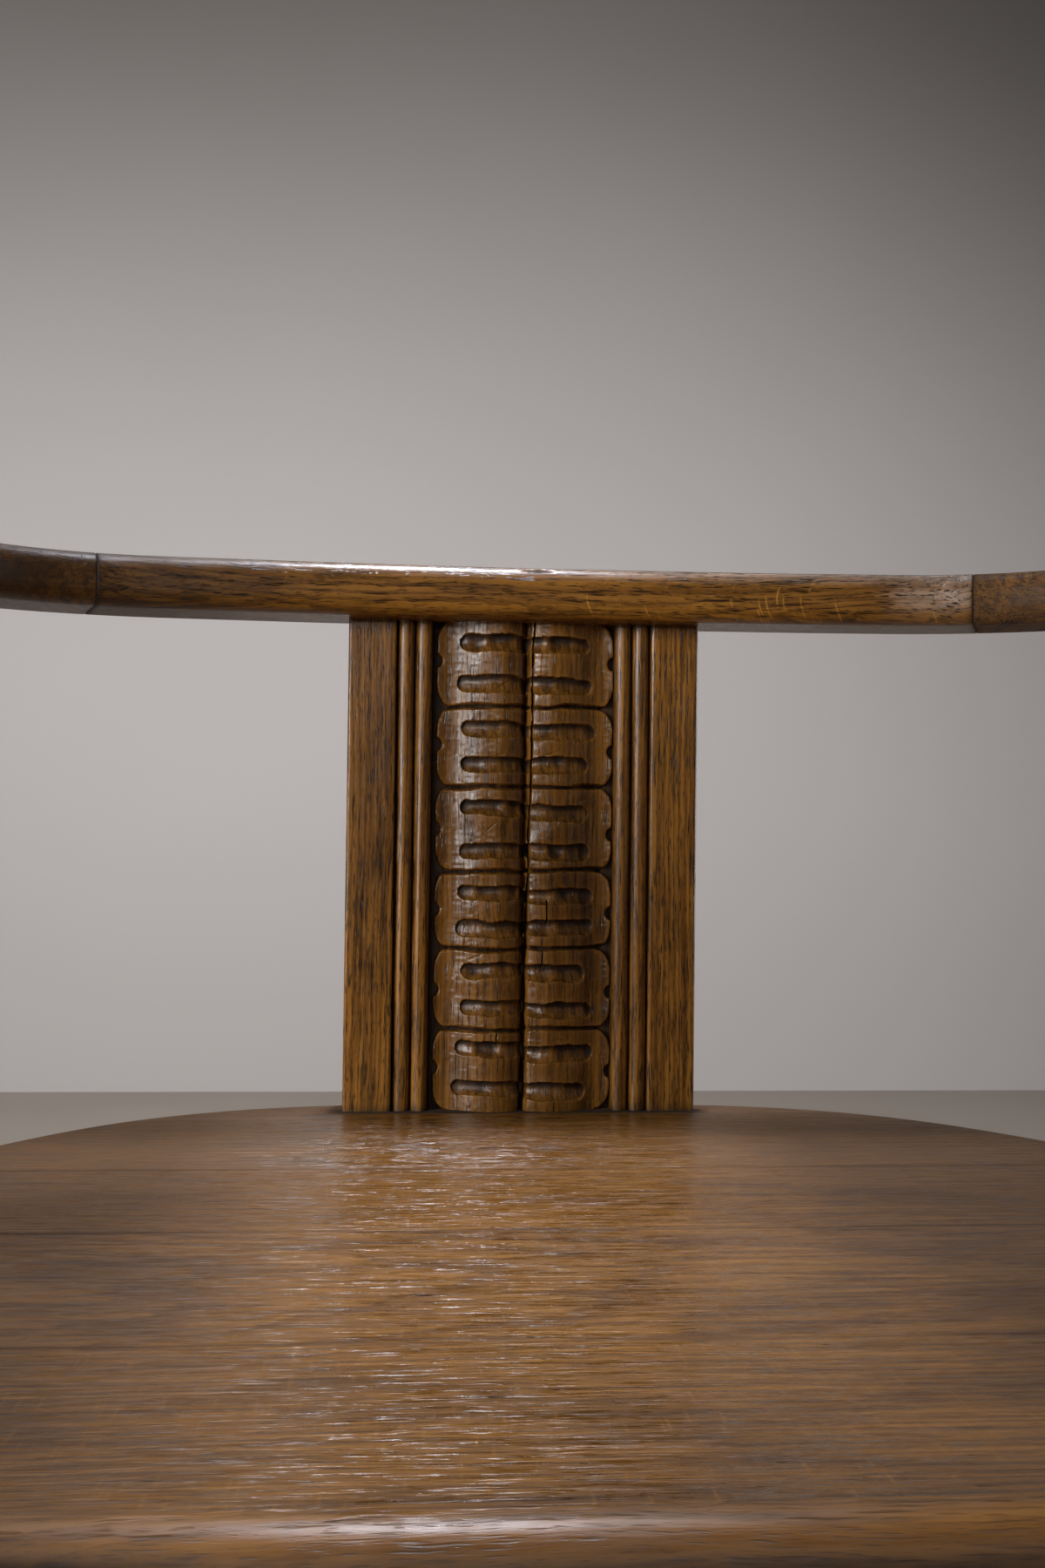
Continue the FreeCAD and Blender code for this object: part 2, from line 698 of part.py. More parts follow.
def column():
    corner = column_block_apothem / math.cos(math.pi / 8)
    points = [normal(math.pi / 8 + math.pi / 4 * k) * corner + Vector(0, 0, column_bottom) for k in range(9)]
    base = Part.Face(Part.makePolygon(points)).extrude(Vector(0, 0, column_block_height))
    base = base.makeChamfer(column_block_chamfer, edges_at(base, block_top))

    def at(radius, height):
        return Vector(radius, 0, height)

    bead_top = block_top + column_bead_height
    bead_foot = column_bead_radius - column_bead_height / 2
    cove_top = bead_top + column_cove_height
    cap_bottom = column_top - column_cap_height
    flare_bottom = cap_bottom - column_cap_height
    sunk = block_top - column_bead_height
    cap_edge = column_cap_radius - column_cap_swell
    cove_middle = at(column_neck_radius + column_cove_sag, bead_top + column_cove_height * 0.55)
    flare_middle = at(column_neck_radius + column_flare_sag, cap_bottom - column_flare_dip)
    outline = [line(at(0, sunk), at(bead_foot, sunk)), line(at(bead_foot, sunk), at(bead_foot, block_top)),
               arc(at(bead_foot, block_top), at(column_bead_radius, (block_top + bead_top) / 2),
                   at(bead_foot, bead_top)),
               arc(at(bead_foot, bead_top), cove_middle, at(column_neck_radius, cove_top)),
               line(at(column_neck_radius, cove_top), at(column_neck_radius, flare_bottom)),
               arc(at(column_neck_radius, flare_bottom), flare_middle, at(cap_edge, cap_bottom)),
               arc(at(cap_edge, cap_bottom), at(column_cap_radius, (cap_bottom + column_top) / 2),
                   at(cap_edge, column_top)),
               line(at(cap_edge, column_top), at(0, column_top)), line(at(0, column_top), at(0, sunk))]
    solid = join([base, turned(outline)])
    cuts = [upright(screw_radius + column_bore_margin, column_bottom - 1, column_top + 1),
            upright(bush_outer + dowel_clearance, column_top - bush_length - dowel_clearance, column_top + 1)]
    cuts += around(leg_tenon(mortise_clearance), leg_count, 45)
    cuts += screws_at(bush_screw_places, Vector(0, 0, -1), bush_screw_length, screw_clearance)
    cuts += screws_at(tie_screw_places, Vector(0, 0, 1), tie_screw_length, screw_clearance)
    return solid.cut(cuts)


# Legs and tie
tie_reach = column_block_apothem + leg_flat_length


def tie_places(radius, first):
    turns = [math.radians(first + 360.0 / leg_count * k) for k in range(leg_count)]
    return [Vector(radius * math.cos(t), radius * math.sin(t), column_bottom - tie_thickness) for t in turns]


tie_screw_places = tie_places(tie_column_screw_circle, 0) + tie_places(tie_reach - 2 * tie_arm_margin, 45)


def leg_blank():
    # Side view in the XZ plane, reaching along +X from the column face to the toe.
    def at(x, z):
        return Vector(x, -leg_thickness / 2, z)

    root_top = at(column_block_apothem, column_bottom + leg_root_height)
    toe_top = at(leg_reach, leg_foot_height)
    heel = at(leg_reach - leg_foot_length, 0)
    flat_end = at(column_block_apothem + leg_flat_length, column_bottom)
    across = Vector(toe_top.z - root_top.z, 0, root_top.x - toe_top.x)
    upward = across * (-1 / across.Length)
    top_middle = (root_top + toe_top) * 0.5 + upward * leg_top_bulge
    under = Vector(heel.z - flat_end.z, 0, flat_end.x - heel.x)
    under_middle = (flat_end + heel) * 0.5 + under * (-leg_under_bulge / under.Length)
    root_bottom = at(column_block_apothem, column_bottom)
    toe_bottom = at(leg_reach, 0)
    edges = [line(root_bottom, root_top), arc(root_top, top_middle, toe_top), line(toe_top, toe_bottom),
             line(toe_bottom, heel), arc(heel, under_middle, flat_end), line(flat_end, root_bottom)]
    solid = Part.Face(Part.Wire(edges)).extrude(Vector(0, leg_thickness, 0))
    toe = [e for e in solid.Edges
           if all((v.Point - Vector(toe_top.x, v.Y, toe_top.z)).Length < 0.001 for v in e.Vertexes)]
    solid = solid.makeFillet(leg_toe_round, toe)
    inner = column_block_apothem + 0.001
    long_edges = [e for e in solid.Edges if len(e.Vertexes) == 2
                  and abs(e.Vertexes[0].Y - e.Vertexes[1].Y) < 0.001
                  and max(v.X for v in e.Vertexes) > inner
                  and max(v.Z for v in e.Vertexes) > leg_foot_height * 0.6
                  and not all(abs(v.Z - column_bottom) < 0.001 for v in e.Vertexes)
                  and max(v.Z for v in e.Vertexes) > column_bottom + 1]
    return solid.makeFillet(leg_edge_round, long_edges)


def leg(turn):
    solid = join([leg_blank(), leg_tenon()])
    solid.rotate(Vector(0, 0, 0), Vector(0, 0, 1), turn)
    return solid.cut(screws_at(tie_screw_places, Vector(0, 0, 1), tie_screw_length, screw_clearance))


def tie_plate():
    low = column_bottom - tie_thickness
    half = tie_arm_width / 2
    tip_x = tie_reach - tie_arm_margin - half
    arm = join([block(0, tip_x, -half, half, low, column_bottom), upright(half, low, column_bottom, tip_x)])
    solid = join([upright(tie_hub_radius, low, column_bottom)] + around(arm, leg_count, 45))
    return solid.cut(screws_at(tie_screw_places, Vector(0, 0, 1), tie_screw_length, screw_clearance))


# Assembly
os.makedirs("parts", exist_ok=True)
nodes = {}

seat = seat_blank()
seat_cuts = splat_tenons(mortise_clearance)[:1]
seat_cuts += [support_tenons(side, mortise_clearance)[0] for side in (-1, 1)]
seat_cuts += screws_at(batten_screw_places, Vector(0, 0, 1), batten_screw_length, screw_clearance)
board_limits = [("seat_board_rear", rear_joint_y, seat_rear_y + 1),
                ("seat_board_mid_rear", middle_joint_y, rear_joint_y),
                ("seat_board_mid_front", front_joint_y, middle_joint_y),
                ("seat_board_front", seat_front_y - 1, front_joint_y)]
for name, y0, y1 in board_limits:
    slab = block(-seat_depth, seat_depth, y0, y1, seat_underside - 1, seat_height + 1)
    nodes[name] = seat.common(slab).cut(seat_cuts)

horseshoe = rail_blank()
region = back_rail_region()
dowel_holes = rail_dowels(dowel_clearance)
nodes["back_rail"] = horseshoe.common(region).cut(dowel_holes + splat_tenons(mortise_clearance)[1:])
for arm in horseshoe.cut(region).Solids:
    side = 1 if arm.CenterOfMass.x > 0 else -1
    name = "right_arm" if side > 0 else "left_arm"
    nodes[name] = arm.cut(dowel_holes + support_tenons(side, mortise_clearance)[1:])
nodes["rail_dowels"] = Part.makeCompound(rail_dowels())
nodes["back_splat"] = back_splat()
nodes["left_arm_support"] = arm_support(-1)
nodes["right_arm_support"] = arm_support(1)

nodes["left_batten"] = batten(-1)
nodes["right_batten"] = batten(1)
nodes["batten_screws"] = Part.makeCompound(screws_at(batten_screw_places, Vector(0, 0, 1),
                                                     batten_screw_length))
nodes["seat_plate"] = seat_plate()
nodes["plate_screws"] = Part.makeCompound(screws_at(plate_screw_places, Vector(0, 0, 1), plate_screw_length))
nodes["thrust_washer"] = ring(journal_radius + running_clearance, washer_radius, washer_bottom, washer_top)
nodes["retaining_washer"] = ring(stud_radius + screw_clearance, washer_radius - 3, plate_top + face_clearance,
                                 plate_top + face_clearance + washer_thickness)
nodes["retaining_nut"] = retaining_nut()
nodes["spindle"] = spindle()
nodes["height_wheel"] = height_wheel()

nodes["column"] = column()
nodes["column_bush"] = column_bush()
nodes["spindle_key"] = spindle_key()
nodes["bush_screws"] = Part.makeCompound(screws_at(bush_screw_places, Vector(0, 0, -1), bush_screw_length))
leg_names = ["right_rear_leg", "left_rear_leg", "left_front_leg", "right_front_leg"]
for index, name in enumerate(leg_names):
    nodes[name] = leg(45 + 360.0 / leg_count * index)
nodes["tie_plate"] = tie_plate()
nodes["tie_plate_screws"] = Part.makeCompound(screws_at(tie_screw_places, Vector(0, 0, 1), tie_screw_length))

for name, shape in nodes.items():
    solids = shape.Solids
    volume = round(shape.Volume / 1000.0, 1)
    print(name, "solids", len(solids), "valid", shape.isValid(), "volume", volume, "cm3")
    shape.exportStep("parts/" + name + ".step")
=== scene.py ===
import bpy
import bmesh
import math
import numpy as np
from mathutils import Matrix, Vector


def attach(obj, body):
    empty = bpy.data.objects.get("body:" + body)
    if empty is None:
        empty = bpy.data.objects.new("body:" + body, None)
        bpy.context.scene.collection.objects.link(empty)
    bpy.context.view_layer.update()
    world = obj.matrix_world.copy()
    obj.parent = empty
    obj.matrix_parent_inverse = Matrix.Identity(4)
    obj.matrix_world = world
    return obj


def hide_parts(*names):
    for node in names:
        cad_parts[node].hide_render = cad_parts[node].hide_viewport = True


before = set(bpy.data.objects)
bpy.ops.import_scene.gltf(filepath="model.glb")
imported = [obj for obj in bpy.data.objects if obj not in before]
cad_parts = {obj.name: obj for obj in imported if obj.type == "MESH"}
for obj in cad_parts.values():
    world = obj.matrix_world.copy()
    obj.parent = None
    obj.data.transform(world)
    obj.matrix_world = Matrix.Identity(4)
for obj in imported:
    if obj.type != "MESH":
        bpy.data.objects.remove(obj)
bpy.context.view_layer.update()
print("frame loaded:", len(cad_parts), "nodes")


# numbers and noise

millimetre = 0.001     # in metres
quarter = math.pi / 2
alongY = (0.0, 0.0, -quarter)      # turns that lay the grain along an axis
alongZ = (0.0, quarter, 0.0)


def smooth(a, b, x):   # eased step: 0 below a, 1 above b
    t = np.clip((x - a) / (b - a), 0.0, 1.0)
    return t * t * (3.0 - 2.0 * t)


def wobble(x, y, seed):   # value noise of two coordinates, about -1 to 1, one cell per unit
    cells = np.random.default_rng(seed).uniform(-1.0, 1.0, (64, 64))
    i, j = np.floor(x).astype(int), np.floor(y).astype(int)
    u, v = smooth(0.0, 1.0, x - i), smooth(0.0, 1.0, y - j)
    low = cells[i % 64, j % 64] * (1 - u) + cells[(i + 1) % 64, j % 64] * u
    high = cells[i % 64, (j + 1) % 64] * (1 - u) + cells[(i + 1) % 64, (j + 1) % 64] * u
    return low * (1 - v) + high * v


def blur(a, radius):   # a gaussian mean over the grid, edges repeated
    r = int(radius * 3) + 1
    w = np.exp(-0.5 * (np.arange(-r, r + 1) / radius) ** 2)
    w /= w.sum()
    for axis in (0, 1):
        pad = [(r, r) if k == axis else (0, 0) for k in (0, 1)]
        big = np.pad(a, pad, mode="edge")
        n = a.shape[axis]
        a = sum(w[k] * np.take(big, np.arange(k, k + n), axis=axis) for k in range(2 * r + 1))
    return a


def tone(r, g, b):   # a screen colour, 0 to 255, as linear light
    c = np.array([r, g, b]) / 255.0
    c = np.where(c <= 0.04045, c / 12.92, ((c + 0.055) / 1.055) ** 2.4)
    return (float(c[0]), float(c[1]), float(c[2]), 1.0)


def chain(first, second):   # centre of the second arc, tangent to the first where the first ends
    gap = first["r"] - second["r"]
    second["x"] = first["x"] + math.sin(first["turn"]) * gap
    second["y"] = first["y"] + math.cos(first["turn"]) * gap


# meshes

def addPiece(name, data):   # a new object in the scene
    made = bpy.data.objects.new(name, data)
    bpy.context.scene.collection.objects.link(made)
    return made


def skin(name, points, sharp=40.0, marks=None):
    # a grid of points (rows, columns, xyz in mm) as quads: each row is a closed ring, both ends get a cap
    rows, cols = points.shape[:2]
    index = np.arange(rows * cols).reshape(rows, cols)
    right = np.roll(index, -1, axis=1)
    quads = np.stack([index[:-1], right[:-1], right[1:], index[1:]], -1).reshape(-1, 4)
    faces = quads.tolist() + [index[0][::-1].tolist(), index[-1].tolist()]
    mesh = bpy.data.meshes.new(name)
    mesh.from_pydata((points.reshape(-1, 3) * millimetre).tolist(), [], faces)
    for key, values in (marks or {}).items():
        layer = mesh.attributes.new(key, "FLOAT", "POINT")
        layer.data.foreach_set("value", np.ascontiguousarray(values.reshape(-1), np.float32))
    merge(mesh, 2e-6, True)
    shade(mesh, sharp)
    return addPiece(name, mesh)


def merge(mesh, gap, outward=False):   # doubles merged, then faces turned outward if asked
    work = bmesh.new()
    work.from_mesh(mesh)
    bmesh.ops.remove_doubles(work, verts=work.verts, dist=gap)
    if outward:
        bmesh.ops.recalc_face_normals(work, faces=work.faces)
    work.to_mesh(mesh)
    work.free()


def shade(mesh, sharp):   # smooth, with edges sharper than the angle kept
    mesh.polygons.foreach_set("use_smooth", np.ones(len(mesh.polygons), bool))
    mesh.set_sharp_from_angle(angle=math.radians(sharp))
    mesh.update()


def dress(piece, body, slot, finish, *nodes):
    piece.data.materials.clear()
    piece.data.materials.append(finish)
    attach(piece, body)
    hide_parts(*nodes)
    return piece


# shader sockets

class Wire:
    # one socket of a node tree; arithmetic on wires adds Math nodes

    def __init__(self, tree, socket=None):
        self.tree = tree
        self.socket = socket

    def node(self, kind, settings=None, sockets=None, out=0):
        made = self.tree.nodes.new("ShaderNode" + kind)
        for key, value in (settings or {}).items():
            setattr(made, key, value)
        for key, value in (sockets or {}).items():
            if isinstance(value, Wire):
                self.tree.links.new(value.socket, made.inputs[key])
            else:
                made.inputs[key].default_value = value
        return Wire(self.tree, made.outputs[out])

    def other(self, out):   # another output of the same node
        return Wire(self.tree, self.socket.node.outputs[out])

    def calc(self, operation, first, second=0.0, clamp=False):
        settings = {"operation": operation, "use_clamp": clamp}
        return self.node("Math", settings, {0: first, 1: second})

    def __add__(self, other):
        return self.calc("ADD", self, other)

    def __sub__(self, other):
        return self.calc("SUBTRACT", self, other)

    def __rsub__(self, other):
        return self.calc("SUBTRACT", other, self)

    def __mul__(self, other):
        return self.calc("MULTIPLY", self, other)

    def __truediv__(self, other):
        return self.calc("DIVIDE", self, other)

    __radd__, __rmul__ = __add__, __mul__

    def clamp(self):
        return self.calc("ADD", self, 0.0, True)

    def step(self, low, high, a=0.0, b=1.0):   # eased from a at low to b at high
        settings = {"interpolation_type": "SMOOTHSTEP"}
        return self.node("MapRange", settings, {0: self, 1: low, 2: high, 3: a, 4: b})

    def mix(self, colourA, colourB):   # colours by this wire as the share of the second
        settings = {"data_type": "RGBA", "clamp_factor": True}
        return self.node("Mix", settings, {0: self, 6: colourA, 7: colourB}, 2)

    def shift(self, operation, vector):   # vector maths on this wire
        return self.node("VectorMath", {"operation": operation}, {0: self, 1: vector})

    def scaled(self, factor):   # this vector, longer by the factor
        return self.node("VectorMath", {"operation": "SCALE"}, {0: self, "Scale": factor})

    def noise(self, scale, detail=2.0, rough=0.5):
        cell = self.shift("MULTIPLY", scale)
        sockets = {"Vector": cell, "Scale": 1.0, "Detail": detail, "Roughness": rough}
        return self.node("TexNoise", {}, sockets)

    def drift(self, scale, detail=2.0, rough=0.5):   # noise as a vector about zero
        return self.noise(scale, detail, rough).other(1).shift("SUBTRACT", (0.5, 0.5, 0.5))


def finish(name, build, gloss):
    # build fills the varying sockets of one surface shader, gloss its constant ones
    material = bpy.data.materials.new(name)
    material.use_nodes = True
    tree = material.node_tree
    tree.nodes.clear()
    surface = tree.nodes.new("ShaderNodeBsdfPrincipled")
    output = tree.nodes.new("ShaderNodeOutputMaterial")
    tree.links.new(surface.outputs[0], output.inputs[0])
    for key, value in gloss.items():
        surface.inputs[key].default_value = value
    for key, wire in build(Wire(tree)).items():
        tree.links.new(wire.socket, surface.inputs[key])
    return material


# oak

oakLook = {
    "light": tone(152, 102, 38),    # late wood
    "dark": tone(98, 61, 20),       # early wood
    "stain": tone(62, 38, 13),      # darker patches of stain
    "pore": tone(28, 16, 7),        # open pores
    "ray": tone(184, 128, 52),      # ray flecks
    "sootAndShade": tone(20, 9, 4),         # old wax and dirt in the cuts, also the colour of painted shade
    "pores": (((22.0, 1.0, 1.0), 0.12, 1.0),      # cell in mm along and across the grain, share open, depth
              ((9.0, 0.8, 0.8), 0.22, 0.9),
              ((4.0, 0.5, 0.5), 0.2, 0.7)),
    "poreHalf": 0.4,                # half width of a pore as a share of its cell
    "poreCover": 0.92,              # how much of the pore's colour shows
    "early": 0.45,                  # more pores in the early wood
    "cluster": 0.5,                 # and in clusters
    "rayCell": (1.5, 17.0, 17.0),
    "rayBend": (0.05, 0.12),        # curve and slant of the flecks
    "rayShare": 0.4,
    "waxed": 0.26,                  # roughness of waxed streaks
}


def oak(name, turn=(0, 0, 0), pith=(140.0, 90.0), ring=2.6, seed=0.0, taper=0.004, figure=0.6, shade=0.0,
        pores=1.0, more=0.0, walls=1.2, rays=0.3, rayMid=0.0, rayFrom=-1000.0, coat=0.03, rough=0.28,
        index=1.4, ripple=0.15, glint=0.0, steep=3.0, polish=0.22, bareAndSheen=0.35, wornAndSheen=tone(152, 104, 48)):
    # solid oak in millimetres: rings round a pith line along the grain, pores with sloping walls, ray flecks
    # more opens more pores, walls tilts their sides
    # glint and steep give waxed streaks; polish and the bare share set the worn spots, whose colour is worn
    # wood or, on the rail, a painted sheen
    look = oakLook

    def build(start):
        where = start.node("TexCoord", {}, {}, 3)
        place = start.node("Mapping", {}, {"Vector": where.scaled(1.0 / millimetre), "Rotation": turn})
        place = place.shift("ADD", (seed * 137.0, 0.0, 0.0))
        bend = place.drift((0.006, 0.022, 0.022), 1.0)
        warped = place.shift("ADD", bend.shift("MULTIPLY", (0.0, 9.0, 9.0)))
        jitter = place.drift((0.09, 0.3, 0.3), 1.0)
        warped = warped.shift("ADD", jitter.shift("MULTIPLY", (0.0, 1.2, 1.2)))
        parts = start.node("SeparateXYZ", {}, {0: warped})
        along, v, w = parts, parts.other(1) - pith[0], parts.other(2) - pith[1]
        rings = (start.calc("SQRT", v * v + w * w) + along * taper) / ring
        uneven = start.node("CombineXYZ", {}, {0: rings * 0.35, 1: along * 0.002, 2: seed})
        rings = rings + uneven.noise((1.0, 1.0, 1.0), 2.0) * 2.2
        phase = start.calc("FRACT", rings)
        early = phase.step(0.0, 0.55, 1.0, 0.0) * phase.step(0.0, 0.07)

        fibre = warped.noise((0.03, 2.6, 2.6), 3.0, 0.6)
        streak = warped.noise((0.01, 0.4, 0.4), 3.0, 0.6)
        cluster = warped.noise((0.026, 0.34, 0.34), 2.0, 0.6).step(0.46, 0.64)
        patch = place.noise((0.008, 0.02, 0.02), 3.0, 0.55)

        # pores: long cells, some of them open, more in the early wood and in clusters
        crowd = early * look["early"] + cluster * look["cluster"]
        pore, slope = 0.0, (0.0, 0.0, 0.0)
        pull = -walls / look["poreHalf"]
        for size, share, depth in look["pores"]:
            cell = warped.shift("DIVIDE", size)
            gap = start.node("TexVoronoi", {}, {"Vector": cell, "Scale": 1.0})
            chance = start.node("SeparateColor", {}, {0: gap.other(1)})
            opened = (crowd + (share + more) - chance).step(-0.06, 0.06) * depth
            inside = gap.step(look["poreHalf"] * 0.5, look["poreHalf"], 1.0, 0.0) * opened
            lean = cell.shift("SUBTRACT", gap.other(2)).shift("MULTIPLY", (0.0, pull, pull))
            slope = lean.scaled(inside).shift("ADD", slope)
            pore = start.calc("MAXIMUM", inside, pore)

        # ray flecks: short curved ticks across the grain, in patches
        parts = start.node("SeparateXYZ", {}, {0: place})
        curl = parts.other(2) - rayMid
        curve, slant = look["rayBend"]
        skew = start.node("CombineXYZ", {}, {0: curl * curl * -curve - curl * slant, 1: 0.0, 2: 0.0})
        tick = place.shift("ADD", skew).shift("DIVIDE", look["rayCell"])
        gap = start.node("TexVoronoi", {}, {"Vector": tick, "Scale": 1.0})
        chance = start.node("SeparateColor", {}, {0: gap.other(1)})
        grove = place.noise((0.02, 0.05, 0.05), 2.0).step(0.36, 0.5) * parts.step(rayFrom, rayFrom + 30.0)
        ray = gap.step(0.15, 0.4, 1.0, 0.0) * (grove * look["rayShare"] - chance).step(-0.05, 0.05) * rays

        base = (early * figure + (1.0 - fibre) * 0.7 - 0.2).clamp().mix(look["light"], look["dark"])
        base = (streak.step(0.42, 0.66) * figure).mix(base, look["dark"])
        stained = patch.step(0.45, 0.72, 0.0, 0.5) + cluster * figure * 0.6 + shade
        base = stained.clamp().mix(base, look["stain"])
        base = ray.mix(base, look["ray"])
        grimeAndShade = start.node("Attribute", {"attribute_name": "grimeAndShade"}, {}, 2)
        wearAndSheen = start.node("Attribute", {"attribute_name": "wearAndSheen"}, {}, 2)
        rub = place.noise((0.12, 0.35, 0.35), 3.0, 0.6)
        # worn colour: worn wood, and on the rail a pale painted sheen and highlight
        base = (wearAndSheen * streak.step(0.35, 0.65, bareAndSheen, bareAndSheen * 0.4)).clamp().mix(base, wornAndSheen)
        base = (pore * (pores * look["poreCover"])).mix(base, look["pore"])
        # old dirt, and painted shade where the marks put it, darken toward the soot colour
        base = (grimeAndShade * rub.step(0.2, 0.75, 1.0, 0.82)).clamp().mix(base, look["sootAndShade"])

        # the pore walls lean the surface, finer fibres and rubbing go through a bump
        comb = warped.drift((0.04, 1.2, 1.2), 2.0, 0.6)
        laneFrom = 0.7 - glint * 0.3
        lane = warped.noise((0.1, 0.5, 0.5), 3.0, 0.65).step(laneFrom, laneFrom + 0.18)    # waxed streaks
        lane = lane * (1.0 - grimeAndShade) * min(glint, 1.0)
        comb = comb.scaled((lane * steep + ripple * 2.0) * (1.0 - wearAndSheen))
        slope = comb.shift("MULTIPLY", (0.0, 1.0, 1.0)).shift("ADD", slope)
        turnBack = {"rotation_type": "EULER_XYZ", "invert": True}
        slope = start.node("VectorRotate", turnBack, {"Vector": slope, "Rotation": turn})
        leaning = where.other(1).shift("ADD", slope).shift("NORMALIZE", (0.0, 0.0, 0.0))
        frameTurn = {"vector_type": "NORMAL", "convert_from": "OBJECT", "convert_to": "WORLD"}
        leaning = start.node("VectorTransform", frameTurn, {0: leaning})
        height = rub * 0.04 - fibre * 0.05 - early * 0.02
        bump = start.node("Bump", {}, {"Strength": 1.0, "Distance": millimetre, "Height": height,
                                       "Normal": leaning})
        roughness = rough + grimeAndShade * grimeAndShade * 0.4 + (rub - 0.5) * 0.16 - (streak - 0.5) * 0.16
        roughness = roughness - (rough - look["waxed"]) * lane * (1.0 - wearAndSheen) - (rough - polish) * wearAndSheen
        shine = (coat + (rub - 0.5) * 0.1 - grimeAndShade * 0.2).clamp()
        return {"Base Color": base, "Roughness": roughness.clamp(), "Coat Weight": shine, "Normal": bump}

    return finish(name, build, {"IOR": index, "Coat Roughness": 0.3, "Coat IOR": 1.45})


# iron and steel

metalLook = {
    "iron": {"base": tone(52, 49, 46), "rust": tone(88, 55, 34), "bright": tone(96, 92, 88),
             "rough": 0.55, "grain": 0.9, "relief": 0.16},      # grains per mm, height of the grain in mm
    "steel": {"base": tone(120, 117, 112), "rust": tone(92, 68, 48), "bright": tone(168, 166, 162),
              "rough": 0.36, "grain": 1.6, "relief": 0.03},
}


def metal(name, look):
    # cast or turned metal: fine pits, dull patches of old oil and a little rust
    def build(start):
        place = start.node("TexCoord", {}, {}, 3).scaled(1.0 / millimetre)
        grit = place.noise((look["grain"],) * 3, 4.0, 0.6)
        cloud = place.noise((0.04, 0.04, 0.04), 4.0, 0.6)
        rusty = place.noise((0.22, 0.22, 0.22), 3.0, 0.65).step(0.58, 0.72)
        base = cloud.step(0.35, 0.7).mix(look["base"], look["bright"])
        base = (rusty * 0.7).mix(base, look["rust"])
        roughness = look["rough"] + (grit - 0.5) * 0.3 + rusty * 0.2
        polish = 1.0 - rusty * 0.6
        height = grit * look["relief"]
        bump = start.node("Bump", {}, {"Strength": 1.0, "Distance": millimetre, "Height": height})
        return {"Base Color": base, "Roughness": roughness.clamp(), "Metallic": polish, "Normal": bump}

    return finish(name, build, {"IOR": 1.5})


castIron = metal("castIron", metalLook["iron"])
oiledSteel = metal("oiledSteel", metalLook["steel"])
print("finishes ready")


# seat: an outline of tangent arcs, cut into four boards

seatPlan = {
    "top": 455.0, "under": 425.0, "topRound": 12.0, "underRound": 8.0,
    "rear": {"x": 0.0, "y": -245.0, "r": 480.0, "turn": math.asin(90.0 / 480.0)},
    "shoulder": {"r": 165.0, "turn": math.radians(52.0)},
    "side": {"r": 360.0},
    "corner": {"r": 75.0},
    "front": {"x": 0.0, "y": 2265.0, "r": 2500.0},
    "joints": (80.0, -13.0, -125.0),
    "lift": 0.12,        # unevenness of the old surface, mm
    "jointDip": 0.08,    # worn glue line, mm
}


def seatArcs(plan):
    # tangent arcs share the normal where they meet; the corner's centre is where two circles cross
    rear, shoulder, side, corner, front = (plan[k] for k in ("rear", "shoulder", "side", "corner", "front"))
    chain(rear, shoulder)
    chain(shoulder, side)
    a, b = side["r"] - corner["r"], front["r"] - corner["r"]
    dx, dy = front["x"] - side["x"], front["y"] - side["y"]
    d = math.hypot(dx, dy)
    along = (d * d + a * a - b * b) / (2 * d)
    across = math.sqrt(a * a - along * along)
    corner["x"] = side["x"] + (dx * along + dy * across) / d
    corner["y"] = side["y"] + (dy * along - dx * across) / d
    side["turn"] = math.atan2(corner["x"] - side["x"], corner["y"] - side["y"])
    corner["turn"] = math.atan2(corner["x"] - front["x"], corner["y"] - front["y"])


def seatInset(x, y):   # distance inward from the outline, by the arc whose sector holds the point
    x = np.abs(x)
    arcs = [seatPlan[k] for k in ("rear", "shoulder", "side", "corner")]
    turns = [np.arctan2(x - a["x"], y - a["y"]) for a in arcs]
    gaps = [a["r"] - np.hypot(x - a["x"], y - a["y"]) for a in arcs]
    front = seatPlan["front"]
    last = front["r"] - np.hypot(x - front["x"], y - front["y"])
    upper = y > 0
    rules = [upper & (turns[0] <= arcs[0]["turn"]), upper & (turns[1] <= arcs[1]["turn"]),
             turns[2] <= arcs[2]["turn"], np.mod(turns[3], 2 * math.pi) <= arcs[3]["turn"]]
    return np.maximum(np.select(rules, gaps, last), 0.0)


def arcEnd(bow):   # x where an arc of the outline ends
    return bow["x"] + bow["r"] * math.sin(bow["turn"])


def seatEdge(x, rear):   # y of the rear or front edge over x, on three arcs
    x = np.abs(x)
    arcs = [seatPlan[k] for k in (("rear", "shoulder", "side") if rear else ("front", "corner", "side"))]
    ends = [arcEnd(a) for a in (arcs[:2] if rear else arcs[1:])]
    way = 1.0 if rear else -1.0
    pick = [a["y"] + way * np.sqrt(np.maximum(a["r"] ** 2 - (x - a["x"]) ** 2, 0)) for a in arcs]
    return np.select([x <= end for end in ends], pick[:2], pick[2])


def seatHalf(y):   # half width of the outline over y, along the side arcs
    side = seatPlan["side"]
    return side["x"] + np.sqrt(side["r"] ** 2 - (y - side["y"]) ** 2)


def seatFaces(x, y, upper):
    # height of the top or underside: flat, then a quarter round by the distance from the outline
    r = np.where(upper, seatPlan["topRound"], seatPlan["underRound"])
    inset = np.minimum(seatInset(x, y), r)
    drop = r - np.sqrt(np.maximum(r * r - (r - inset) ** 2, 0))
    wave = wobble(x / 90.0 + 7.0, y / 55.0 + 9.0, 11) * seatPlan["lift"]
    dip = sum(np.exp(-np.abs(y - j) / 0.5) for j in seatPlan["joints"]) * seatPlan["jointDip"]
    upside = seatPlan["top"] - drop - (wave + seatPlan["lift"]) * 0.5 - dip
    return np.where(upper, upside, seatPlan["under"] + drop)


